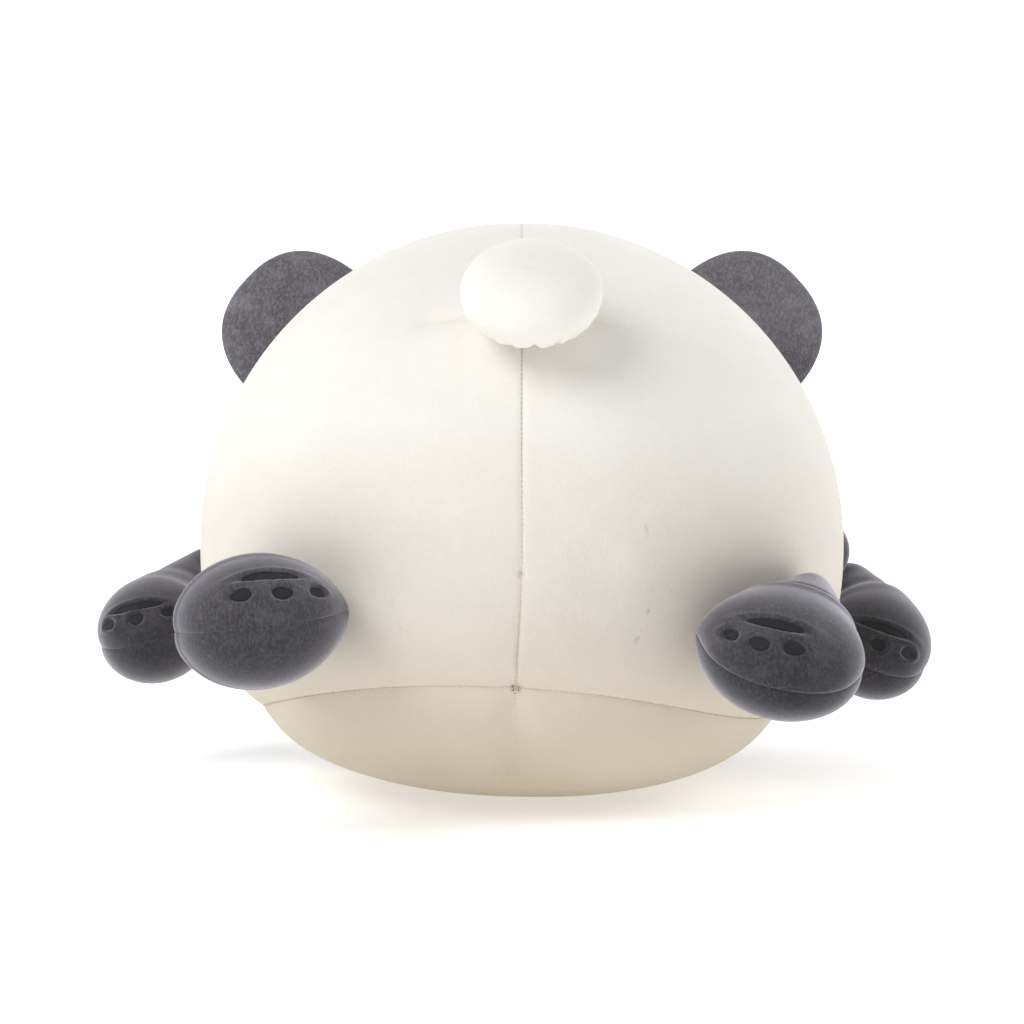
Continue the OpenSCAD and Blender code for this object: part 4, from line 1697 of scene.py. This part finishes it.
@dataclass
class Ear:
    """A padded round ear of two panels, sewn upright to the side of the head."""

    form: BodyForm
    side: int
    radius: float = 42 * MM
    station: float = 15.8
    girth: float = 41.0
    lean: float = 48.0
    yaw: float = 6.0
    gap: float = 2.2 * MM
    half_t: float = 9 * MM
    cloth: float = 1.5 * MM

    @property
    def name(self) -> str:
        """The ear's body name."""
        return "ear_left" if self.side > 0 else "ear_right"

    def place(self, local: Array) -> Array:
        """Moves points from the ear's own space, z out of the head, to the toy's.

        Args:
            local: Points in the ear's space.

        Returns:
            The points in the toy's frame.
        """
        root = self.form.head.points(np.array([self.station]), np.array([self.girth]))[0]
        yaw, lean = math.radians(self.yaw), math.radians(self.lean)
        flat = local.reshape(-1, 3) + [0, 0, self.gap]
        x = flat[:, 0] * math.cos(yaw) - flat[:, 1] * math.sin(yaw)
        y = flat[:, 0] * math.sin(yaw) + flat[:, 1] * math.cos(yaw)
        out = np.stack(
            [x * math.cos(lean) + flat[:, 2] * math.sin(lean), y, flat[:, 2] * math.cos(lean) - x * math.sin(lean)], 1
        )
        out = out + root
        out[:, 0] *= self.side
        return out.reshape(local.shape)

    def section(self, k: Array, v: Array, inset: float = 0.0) -> Array:
        """Points of the ear at shares k of its height and angles v round it.

        Args:
            k: Shares of the height.
            v: Angles round it.
            inset: How far inside the outer face they lie.

        Returns:
            The points, in the ear's space.
        """
        tall = self.radius + 12 * MM
        h = mix(inset, tall - inset, k)
        half_w = self.radius * dome((h - (tall - self.radius)) / self.radius, 2.3)
        taper = np.sqrt(np.maximum(0, 1 - np.minimum(1, h / tall) ** 3))
        thick = mix(1.8 * MM, self.half_t, ease(h / (20 * MM))) * taper
        x = np.maximum(0, half_w - inset) * np.cos(np.radians(v))
        foot = -(x**2) / 0.27 * (1 - k) - 3.5 * MM * (1 - k) ** 6
        return np.stack([x, np.maximum(0, thick - 0.9 * inset) * np.sin(np.radians(v)), h + foot], -1)

    def build(self) -> None:
        """Makes both panels and the padding."""
        k_form = np.concatenate([np.linspace(0, 0.8, 22), 0.8 + 0.2 * np.sin(np.linspace(0, np.pi / 2, 12)[1:])])
        v_form = np.linspace(0, 360, 48, endpoint=False)
        form = self.section(*table(k_form, v_form))
        faces = grid_faces(len(k_form), len(v_form), True)
        faces.append(tuple(range(len(v_form))))
        pinned = np.zeros(form.shape[:2], bool)
        pinned[:2] = True
        half = len(v_form) // 2
        pinned[:, [0, 1, -1, half - 1, half, half + 1]] = True
        pinned[-5:] = True
        inflation = Inflation(2.0, 3 * MM, start_inset=0.6 * MM, stiffness=8.0, bending=0.1).run(
            form.reshape(-1, 3), faces, pinned.ravel()
        )
        k = np.concatenate([np.linspace(0, 0.8, 50), 0.8 + 0.2 * np.sin(np.linspace(0, np.pi / 2, 26)[1:])])
        for part, v0 in (("back", 0.0), ("front", 180.0)):
            v = v0 + 180 * crowded(60, 0.5)
            grid = self.section(*table(k, v))
            lining = self.section(*table(k, v), self.cloth)
            flat = grid.reshape(-1, 3)
            moved = flat + inflation.shift(flat)
            crease = 1.1 * MM * np.exp(-((flat[:, 2] - 8 * MM) / (5 * MM)) ** 2)
            edge = np.abs(np.sin(np.radians(np.tile(v, len(k)))))
            rim = 0.5 * MM * ripple(flat[:, 0] + flat[:, 2], 3.0) * np.exp(-edge * 5)
            sign = 1 if part == "back" else -1
            moved[:, 1] -= sign * (crease + rim) * np.minimum(1, edge * 3)
            moved = moved.reshape(grid.shape)
            lining = lining + 0.9 * (moved - grid)
            piece = cloth_between(f"{self.name}_{part}_cloth", self.place(moved), self.place(lining))
            self.join(stand_for(piece, Slot.CHARCOAL, self.name.replace("ear_", f"ear_{part}_")))
        rings = self.section(*table(np.linspace(0.03, 0.97, 30), v_form), 3.2 * MM)
        piece = ring_solid(f"{self.name}_filling", self.place(rings))
        self.join(stand_for(piece, Slot.FILLING, self.name.replace("ear_", "ear_padding_")))
        log.info("%s: two panels and padding", self.name)

    def join(self, piece: bpy.types.Object) -> None:
        """Bakes a piece's placement into its mesh.

        Args:
            piece: The piece.
        """
        start = self.place(np.array([[0, 0, -3 * MM]]))[0]
        end = self.place(np.array([[0, 0, 9 * MM]]))[0]
        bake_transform(piece)


@dataclass
class Tail:
    """A gathered ball of cloth round a filling, drawn together at its foot and sewn to the rump."""

    form: BodyForm
    half_w: float = 31 * MM
    half_d: float = 26 * MM
    half_h: float = 21 * MM
    rise: float = 23 * MM
    gap: float = 1 * MM
    station: float = 51.4
    girth: float = 92.2
    pleats: int = 20

    def __post_init__(self) -> None:
        """Finds where the tail stands."""
        a, v = np.array([self.station]), np.array([self.girth])
        self.up = self.form.torso.normals(a, v)[0]
        self.root = self.form.torso.points(a, v)[0] + self.gap * self.up
        tilt = math.atan2(self.up[1], self.up[2])
        self.axes = np.array([[1, 0, 0], [0, math.cos(tilt), -math.sin(tilt)], [0, math.sin(tilt), math.cos(tilt)]])

    def place(self, local: Array) -> Array:
        """Moves points from the tail's own space, z out of the rump, to the toy's."""
        return (local.reshape(-1, 3) @ self.axes + self.root).reshape(local.shape)

    def section(self, a: Array, v: Array, inset: float = 0.0) -> Array:
        """Points of the ball at heights a and angles v round it, pleated towards its foot.

        Args:
            a: Heights, as angles.
            v: Angles round it.
            inset: How far inside the outer face they lie.

        Returns:
            The points, in the tail's space.
        """
        ca, sa = np.cos(np.radians(a)), np.sin(np.radians(a))
        low = ease((-a - 4) / 46)
        round_ = np.radians(v)
        phase = self.pleats * round_ + 1.6 * np.sin(round_ * 2 + 1) + 1.1 * np.sin(round_ * 5 + 1)
        deep = 0.6 + 0.4 * np.sin(round_ * 3 + 2)
        pleat = 1 - low * 0.19 * deep * (1 - np.abs(np.sin(phase / 2))) ** 2 + 0.015 * low * np.sin(phase)
        wide = 1 + 0.06 * low
        x = (self.half_w - inset) * ca * np.cos(np.radians(v)) * pleat * wide
        y = (self.half_d - inset) * ca * np.sin(np.radians(v)) * pleat * wide
        return np.stack([x, y, self.rise + (self.half_h - inset) * sa], -1)

    def build(self) -> None:
        """Makes the cover, the filling and the gathering thread."""
        a_form = np.linspace(-78, 88, 30)
        v_form = np.linspace(0, 360, 68, endpoint=False)
        form = self.section(*table(a_form, v_form))
        faces = grid_faces(len(a_form), len(v_form), True)
        faces.append(tuple(range(len(v_form))))
        faces.append(tuple(range((len(a_form) - 1) * len(v_form), len(a_form) * len(v_form))))
        pinned = np.zeros(form.shape[:2], bool)
        pinned[:3] = True
        inflation = Inflation(2.5, 3 * MM, start_inset=1.0 * MM, stiffness=8.0, bending=0.05).run(
            form.reshape(-1, 3), faces, pinned.ravel()
        )
        a = np.concatenate([np.linspace(-84, 80, 90), np.linspace(81.5, 90, 7)])
        v = np.linspace(0, 360, 260, endpoint=False)
        grid = self.section(*table(a, v))
        flat = grid.reshape(-1, 3)
        moved = (flat + inflation.shift(flat)).reshape(grid.shape)
        cover = cloth_sheet("tail_cloth", self.place(moved), 1.5 * MM, wrap=True)
        stand_for(cover, Slot.CREAM, "tail_cover")
        rings = self.section(*table(np.linspace(-76, 88, 30), v_form), 5 * MM)
        filling = ring_solid("tail_filling", self.place(rings))
        stand_for(filling, Slot.FILLING, "tail_stuffing")
        t = np.linspace(0, 2 * np.pi, 26, endpoint=False)
        ring = np.stack([6 * MM * np.cos(t), 6 * MM * np.sin(t), 1.4 * MM + 0.3 * MM * np.sin(5 * t)], 1)
        along = np.stack([-np.sin(t), np.cos(t), 0 * t], 1)
        up = np.tile(self.up, (len(t), 1))
        thread = bead_chain("tail_thread", self.place(ring), along @ self.axes, up, 2.0 * MM, 0.9 * MM)
        stand_for(thread, Slot.THREAD, "tail_gather_thread")
        for piece in (cover, filling, thread):
            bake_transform(piece)
        log.info("tail: cover, filling and thread")


# ---------------------------------------------------------------- studio


@dataclass
class Studio:
    """A plain pale floor with a curved backdrop, soft light and the camera."""

    focal: float = 104.4
    distance: float = 1.4
    elevation: float = 4.5
    middle: tuple[float, float, float] = (0.0, 0.02, 0.114)
    shift: tuple[float, float] = (-10 / 1024, 31 / 1024)

    def camera(self) -> None:
        """Sets up the camera behind the toy."""
        data = bpy.data.cameras.new("camera")
        data.lens = self.focal
        data.sensor_width = 36
        data.shift_x, data.shift_y = self.shift
        data.clip_end = 60
        camera = bpy.data.objects.new("camera", data)
        bpy.context.scene.collection.objects.link(camera)
        e = math.radians(self.elevation)
        away = Vector((0, math.cos(e), math.sin(e)))
        camera.location = Vector(self.middle) + away * self.distance
        camera.rotation_euler = (-away).to_track_quat("-Z", "Y").to_euler()
        bpy.context.scene.camera = camera

    def light(self, name: str, place: tuple[float, float, float], size: float, power: float, colour: tuple) -> None:
        """Adds one square soft light that faces the toy.

        Args:
            name: The light's name.
            place: Where it stands.
            size: Its side.
            power: Its power in watts.
            colour: Its colour.
        """
        data = bpy.data.lights.new(name, "AREA")
        data.energy = power
        data.size = size
        data.color = colour
        lamp = bpy.data.objects.new(name, data)
        bpy.context.scene.collection.objects.link(lamp)
        lamp.location = place
        lamp.rotation_euler = (Vector(self.middle) - Vector(place)).to_track_quat("-Z", "Y").to_euler()

    def build(self) -> None:
        """Makes the floor, the lights and the surround."""
        bend = np.linspace(0, math.pi / 2, 24)
        profile = [(6.0, 0.0), (2.0, 0.0), (0.0, 0.0), (-1.5, 0.0)]
        profile += [(-1.5 - 1.5 * math.sin(t), 1.5 - 1.5 * math.cos(t)) for t in bend[1:]]
        profile.append((-3.0, 6.0))
        points = np.array([(x, y, z) for y, z in profile for x in np.linspace(-7, 7, 9)])
        floor = object_from("backdrop", points, grid_faces(len(profile), 9))
        if floor.data.polygons[0].normal.z < 0:
            floor.data.flip_normals()
        made = NodeBuilder("backdrop paper")
        grain = made.noise(40, 2)
        made.link(made.ramp(grain, 0.3, 0.7, (0.9, 0.9, 0.9), (0.92, 0.92, 0.92)), made.shader.inputs["Base Color"])
        made.shader.inputs["Roughness"].default_value = 0.9
        made.shader.inputs["Emission Strength"].default_value = 1.0
        split = made.tree.nodes.new("ShaderNodeSeparateXYZ")
        made.link(made.place, split.inputs[0])
        far = made.tree.nodes.new("ShaderNodeMapRange")
        far.interpolation_type = "SMOOTHERSTEP"
        far.inputs["From Min"].default_value = -0.4
        far.inputs["From Max"].default_value = -2.0
        made.link(split.outputs["Y"], far.inputs["Value"])
        glow = made.ramp(far.outputs[0], 0.0, 1.0, (0.4, 0.4, 0.4), (0.75, 0.75, 0.75))
        made.link(glow, made.shader.inputs["Emission Color"])
        floor.data.materials.append(made.material)
        world = bpy.data.worlds.new("studio")
        world.use_nodes = True
        world.node_tree.nodes["Background"].inputs[0].default_value = (1, 1, 1, 1)
        world.node_tree.nodes["Background"].inputs[1].default_value = 0.45
        bpy.context.scene.world = world
        bpy.context.scene.view_settings.view_transform = "Standard"
        self.light("key", (1.6, 1.6, 2.0), 1.5, 41, (0.985, 0.99, 1.0))
        self.light("rim", (-1.9, -0.5, 1.2), 1.2, 12, (0.985, 0.99, 1.0))


# ---------------------------------------------------------------- the whole toy


@dataclass
class Panda:
    """The whole toy."""

    form: BodyForm = field(default_factory=BodyForm)

    def limbs(self) -> list[Limb]:
        """The four limbs, each as it lies.

        Returns:
            The limbs.
        """
        t = self.form.torso
        return [
            Limb("arm_left", t, -27.3, -6, (40.5, 46, -29.5), (0.14, 0.98, -0.13), -14, 29 * MM, 0.0, "palm",
                 (47, -4, 62, -3, 33), (Fold(0.36, 0.4 * MM, 0.03, 60),)),
            Limb("arm_right", t, -28.6, 188, (-35.5, 50, -32), (0.08, 0.94, -0.32), 22, 29 * MM, 0.0, "palm",
                 (43, 6, 62, 8, 33), (Fold(0.2, 1.6 * MM, 0.03, 120), Fold(0.4, 0.9 * MM, 0.03, 120))),
            Limb("leg_left", t, 44.7, -7.8, (-4, 55, -2), (-0.20, 0.978, 0.04), -6, 36 * MM, 0.4, "heel",
                 (43, -8, 62, -15, 29),
                 (Fold(0.42, 1.2 * MM, 0.02, 45), Fold(0.52, 1.3 * MM, 0.018, 40), Fold(0.6, 1.2 * MM, 0.018, 30)),
                 corner=-1.0, corner_rise=5.5 * MM, half_h=29 * MM),
            Limb("leg_right", t, 43.7, 184.5, (8, 57, -22), (0.21, 0.92, -0.33), 14, 36 * MM, 0.4, "heel",
                 (32, 8, 53, 16, 24), (Fold(0.36, 1.8 * MM, 0.022, 100),), corner=1.0),
        ]

    def build(self) -> None:
        """Builds every part in order."""
        self.form.inflate()
        BodyCover(self.form).build()
        Face(self.form).build()
        for limb in self.limbs():
            limb.build()
        for side in (1, -1):
            Ear(self.form, side).build()
        Tail(self.form).build()


def main() -> None:
    """Sets the studio up, then builds the toy."""
    logging.basicConfig(level=logging.INFO, format="%(name)s: %(message)s")
    studio = Studio()
    studio.camera()
    studio.build()
    Panda().build()


if __name__ == "__main__":
    main()
